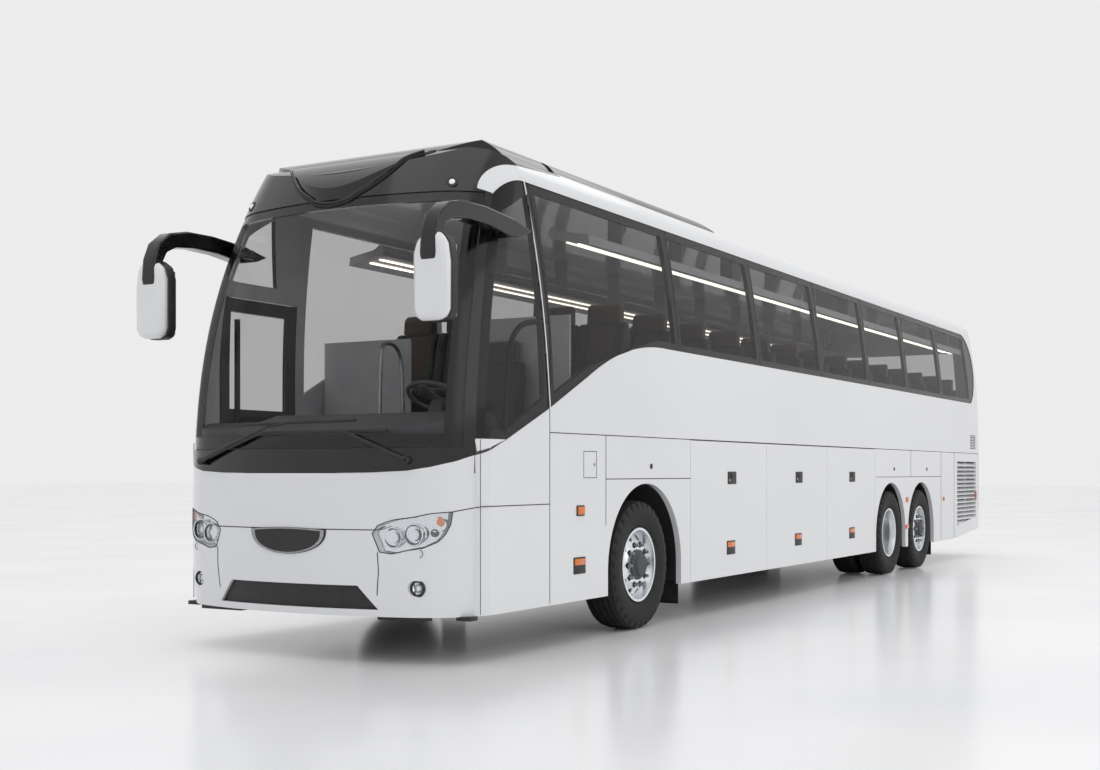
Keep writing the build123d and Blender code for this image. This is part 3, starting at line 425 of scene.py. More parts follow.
def ribbon(points, lift, width, material, depth=0.003):
    """A thin band laid on the nose along points across and up, facing forwards."""
    rail = [on_nose(y, z, lift) for y, z in points]
    low, high = [], []
    for i, point in enumerate(rail):
        ahead = rail[min(i + 1, len(rail) - 1)] - rail[max(i - 1, 0)]
        side = Vector((0.0, -ahead.z, ahead.y)).normalized() * width / 2
        low.append(point - side)
        high.append(point + side)
    return skin(low, high, material, depth)


def span(a, b, count):
    """Evenly spaced points from one (y, z) to another."""
    return [(a[0] + (b[0] - a[0]) * i / count, a[1] + (b[1] - a[1]) * i / count) for i in range(count + 1)]


def between(table, value):
    """A value read off a table of (place, value) by straight interpolation."""
    for (a, low), (b, high) in zip(table, table[1:]):
        if value <= b:
            return low + (high - low) * (value - a) / (b - a)
    return table[-1][1]


class CoachSizes(bpy.types.PropertyGroup):
    """Sizes of the added trim, and the coach's colours."""

    seam: bpy.props.FloatProperty(name="Seam", description="Width of the dark gap between panels",
                                  default=0.006, unit="LENGTH")
    nut_ring: bpy.props.FloatProperty(name="Nut ring", description="Radius of the ring of wheel nuts",
                                      default=0.1675, unit="LENGTH")
    nuts: bpy.props.IntProperty(name="Nuts", description="Wheel nuts on each wheel", default=10)
    groove: bpy.props.FloatProperty(name="Groove", description="Depth of the tread grooves",
                                    default=0.011, unit="LENGTH")
    rows: bpy.props.IntProperty(name="Rows", description="Rows of seats", default=13)
    pitch: bpy.props.FloatProperty(name="Pitch", description="Distance between rows of seats",
                                   default=0.835, unit="LENGTH")
    body_paint: bpy.props.FloatVectorProperty(name="Body paint", description="Enamel of the body",
                                              subtype="COLOR", default=linear("#E0E1E2")[:3], min=0, max=1)
    front_black: bpy.props.FloatVectorProperty(name="Front black", subtype="COLOR",
                                               description="Mouldings round the windscreen",
                                               default=linear("#070708")[:3], min=0, max=1)
    glass_tint: bpy.props.FloatVectorProperty(name="Glass tint", description="Colour of the side glass",
                                              subtype="COLOR", default=linear("#0C0D0E")[:3], min=0, max=1)
    seat_cloth: bpy.props.FloatVectorProperty(name="Seat cloth", description="Centres of the seats",
                                              subtype="COLOR", default=linear("#4E4238")[:3], min=0, max=1)
    seat_hide: bpy.props.FloatVectorProperty(name="Seat hide", description="Bolsters of the seats",
                                             subtype="COLOR", default=linear("#1D1D1F")[:3], min=0, max=1)


class COACH_OT_finishes(bpy.types.Operator):
    """Give every part of the coach its real finish"""

    bl_idname = "coach.finishes"
    bl_label = "Finishes"

    def by_depth(self, node, inside):
        """Paint outside, black under the bonded glass and lining inside."""
        data = dress(node, "paint", "frit", inside)
        for polygon in data.polygons:
            depths = []
            for index in polygon.vertices:
                point = data.vertices[index].co
                across = min(abs(point.y), half_width(point.z))
                ahead = nose_x(across, point.z) - point.x + AXLE
                depths.append(min(half_width(point.z) - abs(point.y), ahead))
            depth = sum(depths) / len(depths)
            on_tail = polygon.center.x < AXLE - 11.45 and depth < REBATE
            polygon.material_index = 0 if depth < SKIN or on_tail else 1 if depth < REBATE else 2

    def execute(self, context):
        make_materials(context.scene.coach)
        by_finish = {
            "paint": ("lower_panels_left", "lower_panels_right", "front_panel", "front_bumper", "rear_panel",
                      "rear_bumper", "engine_lid", "roof", "side_grilles"),
            "black": ("front_frame", "roof_pod", "roof_unit"),
            "grained": ("lower_grille", "mirrors", "wipers", "wheel_arches"),
            "glass": ("window_glass", "entrance_door_glass"),
            "screen": ("windscreen",),
            "lens": ("headlamp_lenses",),
            "chrome": ("headlamp_units",),
            "red": ("tail_lamps",),
            "lino": ("floor",),
            "trim": ("luggage_bay",),
            "steel": ("chassis", "engine", "front_axle", "rear_axles", "knuckle_left", "knuckle_right",
                      "entrance_arm"),
            "dash": ("dashboard",),
            "hide": ("seats",),
            "pale": ("luggage_racks", "partitions"),
            "rubber": ("mudflaps",),
        }
        for finish, names in by_finish.items():
            for name in names:
                dress(name, finish)
        self.by_depth("entrance_door", "dash")
        for side, _ in SIDES:
            self.by_depth(f"side_wall_{side}", "pale")
            for number in NUMBERS:
                dress(f"luggage_door_{side}_{number}", "paint")
            for wheel, _ in WHEELS:
                dress(f"tyre_{wheel}_{side}", "rubber")
                dress(f"rim_{wheel}_{side}", "rim")
        return {"FINISHED"}


def side_plate(x0, x1, z0, z1, proud, material, bevel=0.0, segments=2):
    """A thin plate on the plane part of the left side."""
    return slab((AXLE + x0, HALF - 0.004, z0), (AXLE + x1, HALF + proud, z1), material, bevel, segments)


def side_line(x0, z0, x1, z1, width, lift=0.0006):
    """A dark gap drawn on the left side between two points, following its bow."""
    count = 10 if max(z0, z1) > 2.0 else 1
    way = Vector((x1 - x0, z1 - z0)).normalized()
    across = Vector((-way.y, way.x)) * width / 2
    near, far = [], []
    for i in range(count + 1):
        x = x0 + (x1 - x0) * i / count
        z = z0 + (z1 - z0) * i / count
        for row, sign in ((near, 1), (far, -1)):
            px, pz = x + across.x * sign, z + across.y * sign
            row.append((AXLE + px, half_width(pz) + lift, pz))
    return skin(near, far, "gap", 0.002)


class COACH_OT_seams(bpy.types.Operator):
    """Draw the gaps between the fixed panels, the flaps and the fuel flap"""

    bl_idname = "coach.seams"
    bl_label = "Seams"

    def execute(self, context):
        w = context.scene.coach.seam
        lines = [(1.510, 1.557, -11.75, 1.557), (1.510, 0.33, 1.510, 1.727), (0.640, 0.86, 0.640, 1.557),
                 (0.640, 1.219, 0.520, 1.219), (2.432, 1.043, 1.510, 1.043), (2.432, 0.33, 2.432, 1.49),
                 (0.560, 1.219, -0.950, 1.219), (-6.420, 1.214, -9.485, 1.214),
                 (-7.943, 1.214, -7.943, 1.557), (-9.485, 0.33, -9.485, 1.557),
                 (-10.220, 0.33, -10.220, 1.557)]
        flap = [(0.794, 1.230, 0.999, 1.230), (0.999, 1.230, 0.999, 1.429), (0.999, 1.429, 0.794, 1.429),
                (0.794, 1.429, 0.794, 1.230)]
        pieces = [side_line(*line, w) for line in lines] + [side_line(*line, w * 0.7) for line in flap]
        joined(both_sides(pieces), "panel_gaps", "coach", "trim")
        return {"FINISHED"}


class COACH_OT_side_trim(bpy.types.Operator):
    """Add the handles, locks, reflectors, marker lamps, louvres and vent along the sides"""

    bl_idname = "coach.side_trim"
    bl_label = "Side trim"

    def bay_trim(self, handle, reflector):
        """The lever handle, its key and the reflector of one bay door."""
        key = AXLE + handle + 0.066
        return [side_plate(handle - 0.10, handle + 0.10, 1.162, 1.278, 0.006, "grained", 0.028, 3),
                side_plate(handle - 0.075, handle + 0.045, 1.215, 1.260, 0.012, "grained", 0.008),
                drum((key, HALF, 1.2), (key, HALF + 0.0095, 1.2), 0.013, "nut", 0.002, 20),
                side_plate(reflector - 0.10, reflector + 0.10, 0.512, 0.640, 0.004, "grained", 0.004),
                side_plate(reflector - 0.086, reflector + 0.086, 0.580, 0.628, 0.008, "amber", 0.003)]

    def execute(self, context):
        for side, sign in SIDES:
            place = Matrix.Identity(4) if sign > 0 else MIRROR
            for number, handle, reflector in zip(NUMBERS, (-1.886, -3.700, -5.480), (-1.863, -3.679, -5.473)):
                pieces = self.bay_trim(handle, reflector)
                for piece in pieces:
                    piece.data.transform(place)
                    if sign < 0:
                        piece.data.flip_normals()
                joined(pieces, f"bay_handle_{side}_{number}", f"bay_door_{side}_{number}", "black_plastic")
        lock = [drum((AXLE + x, HALF - 0.002, z), (AXLE + x, HALF + 0.006, z), 0.022, "grained", 0.003, 24)
                for x, z in ((-0.164, 1.320), (-7.177, 1.312), (-8.728, 1.315))]
        fuel = [drum((AXLE + 0.83, HALF - 0.002, 1.33), (AXLE + 0.83, HALF + 0.005, 1.33), 0.012,
                     "nut", 0.002, 20)]
        lamp = [side_plate(0.99, 1.112, 0.945, 1.025, 0.006, "grained", 0.012, 3),
                side_plate(1.0, 1.102, 0.955, 1.015, 0.018, "amber", 0.014, 3),
                side_plate(0.972, 1.159, 0.514, 0.640, 0.004, "grained", 0.004),
                side_plate(0.986, 1.145, 0.580, 0.628, 0.008, "amber", 0.003)]
        rear = [drum((AXLE + x, HALF - 0.002, z), (AXLE + x, HALF + 0.014, z), r, "amber", 0.004, 24)
                for x, z, r in ((-7.76, 0.92, 0.035), (-9.62, 0.90, 0.03))]
        rear += [side_plate(-7.83, -7.69, 0.545, 0.60, 0.008, "amber", 0.003),
                 side_plate(-11.60, -11.54, 0.86, 0.98, 0.008, "amber", 0.003)]
        joined(both_sides(lock + fuel + lamp + rear), "side_lamps_and_locks", "coach", "trim")
        # Painted shade: each slot is a dark sheet of the shadow-gap finish standing for the shade inside the
        # vent's openings
        louvres = []
        for column in (0, 1):
            for i in range(9):
                x = -11.52 + column * 0.17
                louvres.append(side_plate(x, x + 0.145, 1.625 + i * 0.024, 1.637 + i * 0.024, 0.001, "gap"))
        joined(both_sides(louvres), "vent_slots", "coach", "trim")
        tail = surface(("rear_bumper",), (AXLE - 14, 0, 0.50), (1, 0, 0)).x
        holder = slab((tail - 0.005, -0.275, 0.435), (tail + 0.010, 0.275, 0.565), "grained", 0.002)
        blank = slab((tail - 0.007, -0.260, 0.445), (tail - 0.002, 0.260, 0.555), "bulb", 0.001)
        joined([holder, blank], "rear_plate", "coach", "trim")
        return {"FINISHED"}


class COACH_OT_wheels(bpy.types.Operator):
    """Mould the tyres with their tread and fit the wheel nuts and hub caps"""

    bl_idname = "coach.wheels"
    bl_label = "Wheels"

    def tyre(self, y, groove):
        """A tyre centred at y on the front axle, ribbed and lugged."""
        radius, half, bead = 0.522, 0.1475, 0.300
        profile = [(-0.105, bead), (-0.125, bead + 0.015), (-0.138, 0.36), (-half, 0.41), (-half, 0.44),
                   (-0.143, 0.475), (-0.140, 0.492), (-0.130, 0.509)]
        for centre in (-0.075, -0.026, 0.026, 0.075):
            top = radius - 0.001 - 0.1 * centre * centre
            profile += [(centre - 0.006, top), (centre - 0.004, top - groove), (centre + 0.004, top - groove),
                        (centre + 0.006, top)]
        profile += [(0.130, 0.509), (0.140, 0.492), (0.143, 0.475), (half, 0.44), (half, 0.41), (0.138, 0.36),
                    (0.125, bead + 0.015), (0.105, bead)]
        steps = 96
        piece = lathe(profile, (AXLE, y, HUB_Z), (0, 1, 0), "rubber", steps, 40)
        only(piece)
        centre = Vector((AXLE, y, HUB_Z))
        for polygon in piece.data.polygons:
            arm = polygon.center - centre
            turn = int((math.atan2(arm.z, arm.x) + math.pi) / (2 * math.pi) * steps)
            along = abs(arm.y)
            polygon.select = 0.132 < along < 0.1425 and turn % 3 == 0 and arm.length > 0.475
        for vertex in piece.data.vertices:
            vertex.select = False
        for edge in piece.data.edges:
            edge.select = False
        bpy.ops.object.mode_set(mode="EDIT")
        bpy.ops.mesh.select_mode(type="FACE")
        bpy.ops.mesh.extrude_region_shrink_fatten(TRANSFORM_OT_shrink_fatten={"value": -0.006})
        bpy.ops.mesh.select_mode(type="VERT")
        bpy.ops.object.mode_set(mode="OBJECT")
        return piece

    def execute(self, context):
        sizes = context.scene.coach
        tyre = self.tyre(WHEEL_Y, sizes.groove)
        ring = AXLE + sizes.nut_ring
        # Nut, the shadow round its seat, and the end of its stud
        nut = merged([drum((ring, start, HUB_Z), (ring, end, HUB_Z), radius, finish, bevel, sides)
                      for start, end, radius, finish, bevel, sides in (
                          (0.0, 0.030, 0.0165, "nut", 0.002, 6), (0.001, 0.0035, 0.026, "gap", 0.0, 20),
                          (0.026, 0.042, 0.011, "nut", 0.002, 16))])
        middle = Vector((AXLE, 0, HUB_Z))
        turns = [Matrix.Translation(middle) @ Matrix.Rotation(2 * math.pi * i / sizes.nuts, 4, "Y")
                 @ Matrix.Translation(-middle) for i in range(sizes.nuts)]
        for wheel, x in WHEELS:
            for side, sign in SIDES:
                body = f"wheel_{wheel}_{side}"
                rim = (f"rim_{wheel}_{side}",)
                flip = Matrix.Identity(4) if sign > 0 else MIRROR
                move = Matrix.Translation((x, 0, 0))
                tyres = [copied(tyre, flip @ move)]
                if wheel == "drive":
                    tyres.append(copied(tyre, flip @ Matrix.Translation((x, -TWIN, 0))))
                joined(tyres, f"tread_{wheel}_{side}", body, "tyre", f"tyre_{wheel}_{side}")
                face = abs(surface(rim, (ring + x, 3 * sign, HUB_Z), (0, -sign, 0)).y)
                nuts = [copied(nut, flip @ Matrix.Translation((x, face - 0.002, 0)) @ turn) for turn in turns]
                joined(nuts, f"wheel_nuts_{wheel}_{side}", body, "steel")
                hub = surface(rim, (AXLE + x, 3 * sign, HUB_Z), (0, -sign, 0))
                cover = [(0.002, 0.0), (0.010, 0.06), (0.004, 0.088), (-0.02, 0.100), (-0.03, 0.122),
                         (-0.05, 0.122), (-0.05, 0.0)]
                cap = lathe(cover, (AXLE + x, hub.y, HUB_Z), (0, sign, 0), "dash", 48)
                joined([cap], f"hub_cap_{wheel}_{side}", body, "black_plastic")
        for piece in (tyre, nut):
            bpy.data.objects.remove(piece)
        return {"FINISHED"}


class COACH_OT_front(bpy.types.Operator):
    """Fit the lamps, skids, badge plate, seams, cowl edge and scoop lip of the front"""

    bl_idname = "coach.front"
    bl_label = "Front"

    def bowl(self, y, z, radius, depth):
        """A round reflector with its lamp and ring, set back behind the lens."""
        face = on_nose(y, z).x - 0.016
        ring = lathe([(0, radius), (0.006, radius + 0.002), (0.006, radius + 0.008), (-0.004, radius + 0.010),
                      (-0.03, radius + 0.004), (-depth, radius * 0.25), (-depth + 0.003, radius * 0.2),
                      (-0.03, radius - 0.004)],
                     (face, y, z), (1, 0, 0), "chrome", 40)
        edge = lathe([(-0.002, radius - 0.008), (0.002, radius - 0.005), (0.002, radius - 0.001),
                      (-0.010, radius - 0.002), (-0.010, radius - 0.008)], (face, y, z), (1, 0, 0), "gap", 40)
        collar = lathe([(-0.016, radius * 0.48), (-0.008, radius * 0.56), (-0.016, radius * 0.66),
                        (-depth + 0.01, radius * 0.6), (-depth + 0.01, radius * 0.48)],
                       (face, y, z), (1, 0, 0), "nut", 40)
        bulb = lathe([(-depth, 0.0), (-depth, radius * 0.46), (-0.018, radius * 0.46), (-0.010, radius * 0.3),
                      (-0.007, 0.0)], (face, y, z), (1, 0, 0), "bulb", 32)
        return [ring, edge, collar, bulb]

    def execute(self, context):
        lamps = []
        for y, z, radius in ((0.800, 0.840, 0.062), (0.935, 0.860, 0.066)):
            lamps += self.bowl(y, z, radius, 0.05)
        joined(both_sides(lamps), "headlamp_bowls", "coach", "lamp_chrome")
        y, z = 1.075, 0.945
        x = on_nose(y, z).x - 0.03
        amber = [lathe([(0.0, 0.0), (0.004, 0.020), (-0.004, 0.034), (-0.05, 0.030), (-0.05, 0.0)],
                       (x, y, z), (1, 0.5, 0), "amber", 32)]
        joined(both_sides(amber), "indicator_lamps", "coach", "tail_lens")
        y, z = 1.050, 0.872
        x = on_nose(y, z).x - 0.025
        small = lathe([(0.0, 0.018), (0.004, 0.020), (0.004, 0.026), (-0.02, 0.028), (-0.03, 0.0),
                       (-0.022, 0.0)], (x, y, z), (1, 0.3, 0), "black", 32)
        joined(both_sides([small]), "side_beam_lamps", "coach", "black_gloss")
        fog = []
        y, z = 0.950, 0.508
        face = on_nose(y, z).x
        fog.append(lathe([(-0.004, 0.040), (0.004, 0.044), (0.006, 0.053), (-0.004, 0.061), (-0.05, 0.050),
                          (-0.05, 0.040)], (face, y, z), (1, 0, 0), "black", 40))
        fog.append(lathe([(-0.010, 0.039), (-0.050, 0.012), (-0.055, 0.0), (-0.050, 0.0), (-0.045, 0.014),
                          (-0.006, 0.041)], (face, y, z), (1, 0, 0), "chrome", 40))
        fog.append(lathe([(-0.012, 0.0), (-0.016, 0.017), (-0.04, 0.017), (-0.04, 0.0)],
                         (face, y, z), (1, 0, 0), "bulb", 32))
        y, z = 0.978, 0.737
        fog.append(lathe([(0.0005, 0.0225), (0.0015, 0.0240), (0.0005, 0.0255), (-0.004, 0.0240)],
                         (on_nose(y, z).x, y, z), (1, 0, 0), "gap", 40))
        joined(both_sides(fog), "fog_lamps", "coach", "lamp_chrome")
        w = context.scene.coach.seam
        across = span((0.0, 0.891), (0.700, 0.891), 14) + span((0.700, 0.891), (0.760, 0.915), 2)[1:]
        down = span((0.700, 0.745), (0.705, 0.620), 4) + span((0.705, 0.620), (0.680, 0.385), 6)[1:]
        seams = [ribbon(path, 0.0008, w, "gap", 0.002) for path in (across, down)]
        lamp = [(0.665, 0.866), (0.703, 0.920), (0.760, 0.943), (0.820, 0.960), (0.940, 0.976),
                (1.040, 1.000), (1.150, 1.011), (1.142, 0.930), (1.120, 0.870), (1.100, 0.838),
                (1.075, 0.812), (1.000, 0.775), (0.900, 0.758), (0.800, 0.735), (0.715, 0.746),
                (0.665, 0.866)]
        for start, end in zip(lamp, lamp[1:]):
            seams.append(ribbon(span(start, end, 4), 0.0008, w, "gap", 0.002))
        seams.append(ribbon(span((1.150, 1.011), (1.250, 1.040), 10), 0.0012, w, "gap", 0.002))
        seams += [ribbon(span((0.31, 0.512), (0.33, 0.372), 3), -0.0232, w, "gap", 0.002),
                  ribbon(span((0.0, 0.385), (0.66, 0.385), 10), -0.0225, 0.012, "gap", 0.004)]
        joined(both_sides(seams), "front_gaps", "coach", "trim")
        steps = [slab((AXLE + 2.42, 1.14, 0.290), (AXLE + 2.52, 1.25, 0.318), "grained", 0.004),
                 slab((AXLE + 2.56, 0.60, 0.285), (AXLE + 2.66, 0.98, 0.318), "grained", 0.004)]
        joined(both_sides(steps), "bumper_skids", "coach", "black_plastic")
        middle = on_nose(0.900, 3.264, -0.004)
        way = (1.0, 0.35, 0.45)
        base = [(0.0, 0.0), (0.006, 0.042), (0.012, 0.036), (0.012, 0.0)]
        cap = [(0.010, 0.0), (0.012, 0.022), (0.018, 0.018), (0.019, 0.0)]
        markers = [lathe(base, middle, way, "grained", 32), lathe(cap, middle, way, "bulb", 32)]
        joined(both_sides(markers), "roof_markers", "coach", "lamp_chrome")
        self.badge()
        self.sweep()
        self.scoop()
        return {"FINISHED"}

    def sweep(self):
        """The white cowl's edge, which climbs round the corner to the driver's window."""
        edge = [(0.40, 1.266), (0.645, 1.269), (0.896, 1.281), (1.042, 1.307), (1.161, 1.343), (1.232, 1.384)]
        places = [0.40 + 0.832 * i / 40 for i in range(41)]
        low = [on_nose(y, 1.2645, 0.0012) for y in places]
        high = [on_nose(y, between(edge, y), 0.0012) for y in places]
        joined(both_sides([skin(low, high, "paint")]), "cowl_sweep", "coach", "body_paint")
        sill = [(2.100, 1.494), (2.190, 1.464), (2.270, 1.433), (2.350, 1.406), (2.434, 1.384)]
        low, high = [], []
        for i in range(21):
            x = 2.100 + 0.334 * i / 20
            for row, z in ((low, between(sill, x)), (high, 1.4945)):
                hit = surface(("side_wall_left", "front_frame"), (AXLE + x, 3, z), (0, -1, 0))
                row.append(Vector((hit.x, hit.y + 0.0012, z)))
        joined([skin(low, high, "black")], "sill_sweep", "coach", "black_gloss")
        line = [ribbon(span((-1.02, 1.434), (1.02, 1.434), 40), 0.0012, 0.008, "seal", 0.002)]
        joined(line, "windscreen_foot", "coach", "trim")

    def scoop(self):
        """The lip under the roof's scoop, over a dark tube that paints the shade of the groove beneath it."""
        rails = []
        for lift in (0.0, 0.022):
            points = []
            for i in range(25):
                y = -0.60 + 0.05 * i
                x = 1.634 + math.sqrt(0.7578 ** 2 - y ** 2) + 0.012
                hit = surface(("roof", "front_frame"), (AXLE + x, y, 5), (0, 0, -1))
                points.append(Vector((AXLE + x, y, hit.z + 0.004 + lift)))
            rails.append(points)
        # Painted shade: this seal-black tube on the roof stands for the dark groove under the lip
        groove = tube(rails[0], 0.013, "seal", sides=3)
        lip = tube(rails[1], 0.010, "black", sides=3)
        joined([groove, lip], "scoop_lip", "coach", "black_gloss")

    def badge(self):
        """The bare badge plate: a black half oval in a bright rim."""
        pieces = []
        angles = [math.pi * i / 32 for i in range(33)]
        outline = [(0.315 * math.cos(angle), 0.885 - 0.162 * math.sin(angle) ** 0.8) for angle in angles]
        middle = 0.812
        for grow, lift, material, thick in ((1.035, 0.001, "gap", 0.006), (1.0, 0.005, "nut", 0.008),
                                            (0.90, 0.012, "black", 0.005)):
            corners = [(y * grow, middle + (z - middle) * grow) for y, z in outline]
            (right, top), left = corners[0], corners[-1][0]
            arch = [(left + (right - left) * i / 12, top + 0.012 * math.sin(math.pi * i / 12))
                    for i in range(1, 12)]
            points = [on_nose(y, z, lift) for y, z in corners + arch]
            pieces.append(plate(points, (thick, 0, 0), material, 0.003))
        joined(pieces, "badge_plate", "coach", "lamp_chrome")


class COACH_OT_seats(bpy.types.Operator):
    """Upholster the seats: brown centres, black bolsters, headrests and legs"""

    bl_idname = "coach.seats"
    bl_label = "Seats"

    def chair(self, x, y0, y1, floor):
        """The brown and black pads of one seat with its hip at x."""
        side = 0.085
        cushion = [(x + 0.24, floor + 0.40), (x + 0.262, floor + 0.45), (x + 0.23, floor + 0.485),
                   (x - 0.02, floor + 0.47), (x - 0.14, floor + 0.45), (x - 0.16, floor + 0.38)]
        back = [(x - 0.10, floor + 0.44), (x - 0.15, floor + 0.66), (x - 0.205, floor + 0.90),
                (x - 0.25, floor + 1.0), (x - 0.31, floor + 0.99), (x - 0.30, floor + 0.86),
                (x - 0.23, floor + 0.42)]
        head = [(x - 0.215, floor + 0.99), (x - 0.225, floor + 1.12), (x - 0.27, floor + 1.165),
                (x - 0.325, floor + 1.15), (x - 0.325, floor + 1.0), (x - 0.29, floor + 0.97)]
        brown, black = [], []
        for outline, margin in ((cushion, side), (back, side), (head, 0.07)):
            points = [Vector((AXLE + px, y0 + margin, pz)) for px, pz in outline]
            brown.append(plate(points, (0, y1 - margin - (y0 + margin), 0), "brown", 0.022))
        for start in (y0, y1 - side):
            for outline, forward in ((cushion, 0.018), (back, 0.03)):
                points = [Vector((AXLE + px + (forward if i < len(outline) - 2 else 0.0), start, pz))
                          for i, (px, pz) in enumerate(outline)]
                black.append(plate(points, (0, side, 0), "hide", 0.024))
        return brown, black

    def execute(self, context):
        sizes = context.scene.coach
        hip, width = 0.250, 0.445
        brown, black = [], []
        for y0 in (0.250, 0.705):
            more = self.chair(hip, y0, y0 + width, DECK_Z)
            brown += more[0]
            black += more[1]
        brown, black = merged(brown), merged(black)
        # Beam and legs of a pair of seats, and its armrests
        frame_parts = [slab((AXLE + x0, y0, DECK_Z + z0), (AXLE + x1, y1, DECK_Z + z1), "steel", 0.01)
                       for x0, x1, y0, y1, z0, z1 in ((0.02, 0.16, 0.30, 1.10, 0.30, 0.385),
                                                      (0.05, 0.14, 0.42, 0.50, 0.0, 0.31),
                                                      (0.05, 0.14, 0.92, 1.00, 0.0, 0.31))]
        frame_parts += [slab((AXLE - 0.16, y, DECK_Z + 0.62), (AXLE + 0.17, y + 0.04, DECK_Z + 0.665),
                             "hide", 0.015, 3) for y in (0.235, 0.680)]
        masters = (brown, black, merged(frame_parts))
        rows = [[], [], []]
        for row in range(sizes.rows):
            move = Matrix.Translation((-row * sizes.pitch, 0, 0))
            for flip in (Matrix.Identity(4), MIRROR):
                for group, master in zip(rows, masters):
                    group.append(copied(master, flip @ move))
        bench_x = hip - sizes.rows * sizes.pitch - 0.06
        single = [(bench_x, -1.15 + 0.46 * i, -1.15 + 0.46 * i + 0.455, DECK_Z) for i in range(5)]
        for place in (*single, (1.420, 0.380, 0.860, CAB_Z)):
            for group, more in zip(rows, self.chair(*place)):
                group += more
        rows[2].append(slab((AXLE + bench_x - 0.1, -1.1, DECK_Z),
                            (AXLE + bench_x + 0.18, 1.1, DECK_Z + 0.385), "steel", 0.01))
        rows[2].append(slab((AXLE + 1.30, 0.47, 1.05), (AXLE + 1.56, 0.77, CAB_Z + 0.385), "hide", 0.03))
        for piece in masters:
            bpy.data.objects.remove(piece)
        centres = joined(rows[0], "seat_centres", "coach", "seat", "seats")
        bolsters = joined(rows[1], "seat_bolsters", "coach", "seat")
        joined(rows[2], "seat_frames", "coach", "steel")
        return {"FINISHED"}


class COACH_OT_cabin(bpy.types.Operator):
    """Fit the light strips, the frame of the driver's sliding window and the handrail"""

    bl_idname = "coach.cabin"
    bl_label = "Cabin"

    def execute(self, context):
        strips = [slab((AXLE - 11.1, y, z), (AXLE + 0.6, y + 0.022, z + 0.010), "light", 0.0)
                  for y, z in ((0.90, 3.074), (1.00, 3.053))]
        joined(both_sides(strips), "light_strips", "coach", "trim")
        slider = [(1.519, 2.352), (1.783, 2.334), (1.960, 2.243), (2.045, 2.089), (2.084, 1.818),
                  (2.102, 1.530)]
        bar = tube([(AXLE + x, half_width(z) - 0.022, z) for x, z in slider], 0.020, "seal")
        joined([bar], "slider_frame", "coach", "trim")
        rails = [tube([(AXLE + 1.05, -0.35, 1.52), (AXLE + 1.05, -0.35, 2.10), (AXLE + 1.12, -0.35, 2.28),
                       (AXLE + 1.30, -0.35, 2.30), (AXLE + 1.36, -0.35, 2.2), (AXLE + 1.36, -0.35, 1.3)],
                      0.016, "nut")]
        joined(rails, "handrail", "coach", "steel")
        return {"FINISHED"}


class COACH_OT_wipers(bpy.types.Operator):
    """Park the two wipers along the foot of the windscreen"""

    bl_idname = "coach.wipers"
    bl_label = "Wipers"

    def along(self, start, end, lift, radius, steps=8, taper=1.0):
        """A bar that follows the windscreen from one (y, z) to another."""
        points = [on_nose(y, z, lift) for y, z in span(start, end, steps)]
        radii = [1 + (taper - 1) * i / steps for i in range(steps + 1)]
        return tube(points, radius, "grained", radii=radii, sides=3)

    def execute(self, context):
        pieces = []
        sweeps = (((0.905, 1.352), (0.480, 1.543), (0.762, 1.545), (-0.243, 1.535)),
                  ((-0.885, 1.352), (-0.150, 1.584), (-0.490, 1.598), (0.536, 1.617)))
        for foot, tip, blade_start, blade_end in sweeps:
            x = on_nose(*foot).x
            pieces.append(drum((x - 0.01, *foot), (x + 0.05, *foot), 0.026, "grained", 0.006, 24))
            pieces.append(self.along(foot, tip, 0.042, 0.019, 8, 0.45))
            pieces.append(self.along(tip, span(blade_start, blade_end, 2)[1], 0.034, 0.010, 4, 0.8))
            pieces.append(self.along(blade_start, blade_end, 0.020, 0.010, 14, 0.9))
            pieces.append(self.along(blade_start, blade_end, 0.008, 0.006, 14))
        joined(pieces, "wiper_set", "coach", "black_plastic", "wipers")
        return {"FINISHED"}


class COACH_OT_mirrors(bpy.types.Operator):
    """Hang the mirrors on their arched arms"""

    bl_idname = "coach.mirrors"
    bl_label = "Mirrors"

    def execute(self, context):
        profile = [(1.74, 2.962), (2.00, 3.018), (2.35, 3.046), (2.62, 3.042), (2.79, 3.005), (2.90, 2.92),
                   (2.950, 2.80), (2.962, 2.66), (2.950, 2.610), (2.925, 2.600), (2.885, 2.66), (2.865, 2.78),
                   (2.82, 2.86), (2.73, 2.905), (2.55, 2.925), (2.30, 2.920), (2.02, 2.885), (1.86, 2.915)]
        arm = plate([(AXLE + x, 1.155, z) for x, z in profile], (0, 0.12, 0), "black", 0.034)
        root = slab((AXLE + 1.92, 1.12, 2.915), (AXLE + 2.12, 1.20, 2.995), "black", 0.02)
        cover = [(1.352, 2.60), (1.350, 2.30), (1.325, 2.245), (1.27, 2.232), (1.15, 2.232), (1.105, 2.25),
                 (1.088, 2.31), (1.088, 2.66), (1.12, 2.75), (1.20, 2.80), (1.29, 2.79), (1.335, 2.72)]
        shell = plate([(AXLE + 2.865, y, z) for y, z in cover], (0.085, 0, 0), "paint", 0.034, 50)
        back = plate([(AXLE + 2.790, 1.22 + (y - 1.22) * 0.97, 2.52 + (z - 2.52) * 1.01) for y, z in cover],
                     (0.095, 0, 0), "grained", 0.02, 50)
        glass = [slab((AXLE + 2.786, 1.115, low), (AXLE + 2.792, 1.325, high), "mirror", 0.0)
                 for low, high in ((2.42, 2.72), (2.265, 2.40))]
        mirror = both_sides([arm, root, back, shell, *glass])
        joined(mirror, "mirror_set", "coach", "black_plastic", "mirrors")
        return {"FINISHED"}


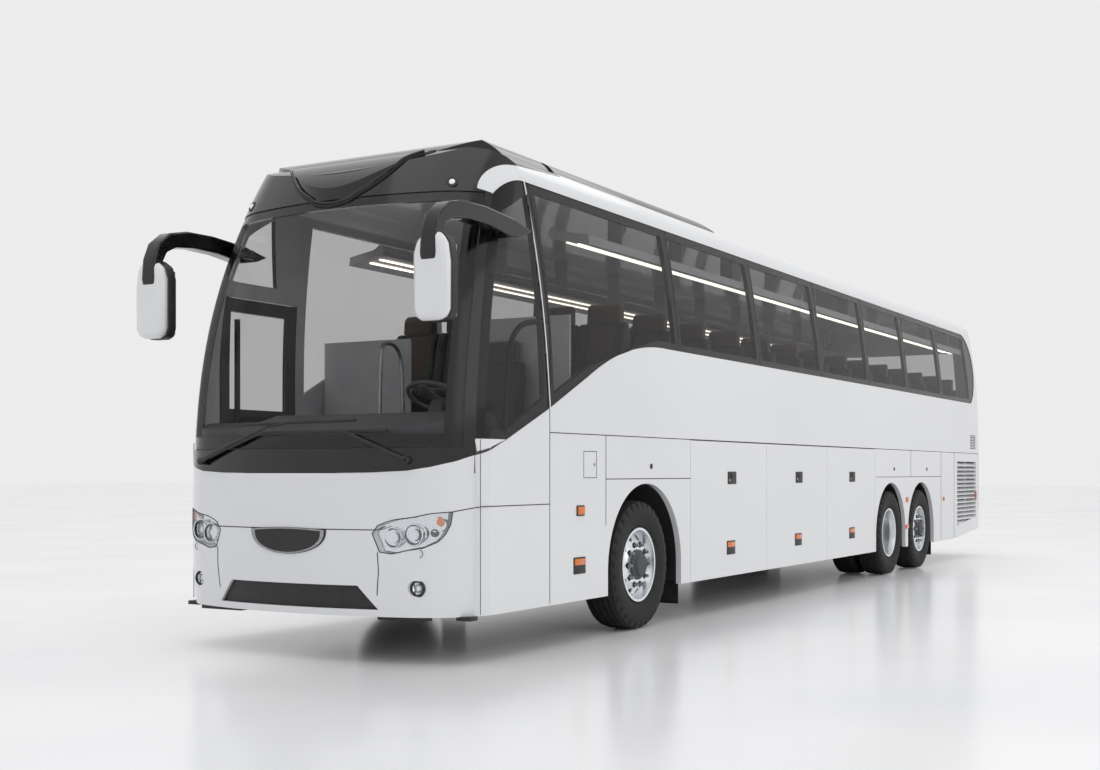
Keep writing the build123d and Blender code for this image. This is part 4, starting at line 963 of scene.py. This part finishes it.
class COACH_OT_stage(bpy.types.Operator):
    """Set the pale floor, the soft lights and the camera of the picture"""

    bl_idname = "coach.stage"
    bl_label = "Stage"

    def area(self, name, place, aim, size, power):
        """A soft rectangular light."""
        data = bpy.data.lights.new(name, "AREA")
        data.shape = "RECTANGLE"
        data.size, data.size_y = size
        data.energy = power
        light = bpy.data.objects.new(name, data)
        light.location = place
        light.rotation_euler = (Vector(aim) - Vector(place)).to_track_quat("-Z", "Y").to_euler()
        bpy.context.scene.collection.objects.link(light)

    def execute(self, context):
        scene = context.scene
        bpy.ops.object.select_all(action="DESELECT")
        bpy.ops.mesh.primitive_plane_add(size=240, location=(0, 0, cad_box[0][2]))
        ground = context.object
        ground.name = "studio_floor"
        ground.data.materials.append(M["floor"])
        world = bpy.data.worlds.new("studio")
        world.use_nodes = True
        world.node_tree.nodes["Background"].inputs["Color"].default_value = linear("#F4F4F5")
        world.node_tree.nodes["Background"].inputs["Strength"].default_value = 0.93
        scene.world = world
        self.area("overhead", (AXLE - 3, 1, 11), (AXLE - 3, 0, 0), (22, 9), 420)
        self.area("side", (AXLE - 1, 13, 6), (AXLE - 3, 0, 1.5), (18, 6), 200)
        camera = bpy.data.cameras.new("camera")
        camera.sensor_width = 36
        camera.lens = 45.91
        camera.shift_y = 0.0795
        camera.clip_end = 400
        eye = bpy.data.objects.new("camera", camera)
        turn = math.radians(29.816)
        eye.location = (AXLE + 10.240, 6.280, 1.270)
        eye.rotation_euler = Vector((-math.cos(turn), -math.sin(turn), 0)).to_track_quat("-Z", "Y").to_euler()
        scene.collection.objects.link(eye)
        scene.camera = eye
        scene.view_settings.view_transform = "Standard"
        return {"FINISHED"}


class COACH_PT_panel(bpy.types.Panel):
    """The coach's sizes, colours and steps."""

    bl_idname = "COACH_PT_panel"
    bl_label = "Coach"
    bl_space_type = "VIEW_3D"
    bl_region_type = "UI"
    bl_category = "Coach"

    def draw(self, context):
        for name in CoachSizes.__annotations__:
            self.layout.prop(context.scene.coach, name)
        for step in STEPS:
            self.layout.operator(step.bl_idname)


STEPS = (COACH_OT_finishes, COACH_OT_seams, COACH_OT_side_trim, COACH_OT_wheels, COACH_OT_front,
         COACH_OT_wipers, COACH_OT_mirrors, COACH_OT_seats, COACH_OT_cabin, COACH_OT_stage)
CLASSES = (CoachSizes, *STEPS, COACH_PT_panel)


def register():
    """Add the coach's classes and its settings to Blender."""
    for one in CLASSES:
        bpy.utils.register_class(one)
    bpy.types.Scene.coach = bpy.props.PointerProperty(type=CoachSizes)


def unregister():
    """Take them away again."""
    del bpy.types.Scene.coach
    for one in reversed(CLASSES):
        bpy.utils.unregister_class(one)


def main():
    """Build everything in order."""
    register()
    bpy.ops.coach.finishes()
    bpy.ops.coach.seams()
    bpy.ops.coach.side_trim()
    bpy.ops.coach.wheels()
    bpy.ops.coach.front()
    bpy.ops.coach.wipers()
    bpy.ops.coach.mirrors()
    bpy.ops.coach.seats()
    bpy.ops.coach.cabin()
    bpy.ops.coach.stage()


if __name__ == "__main__":
    main()
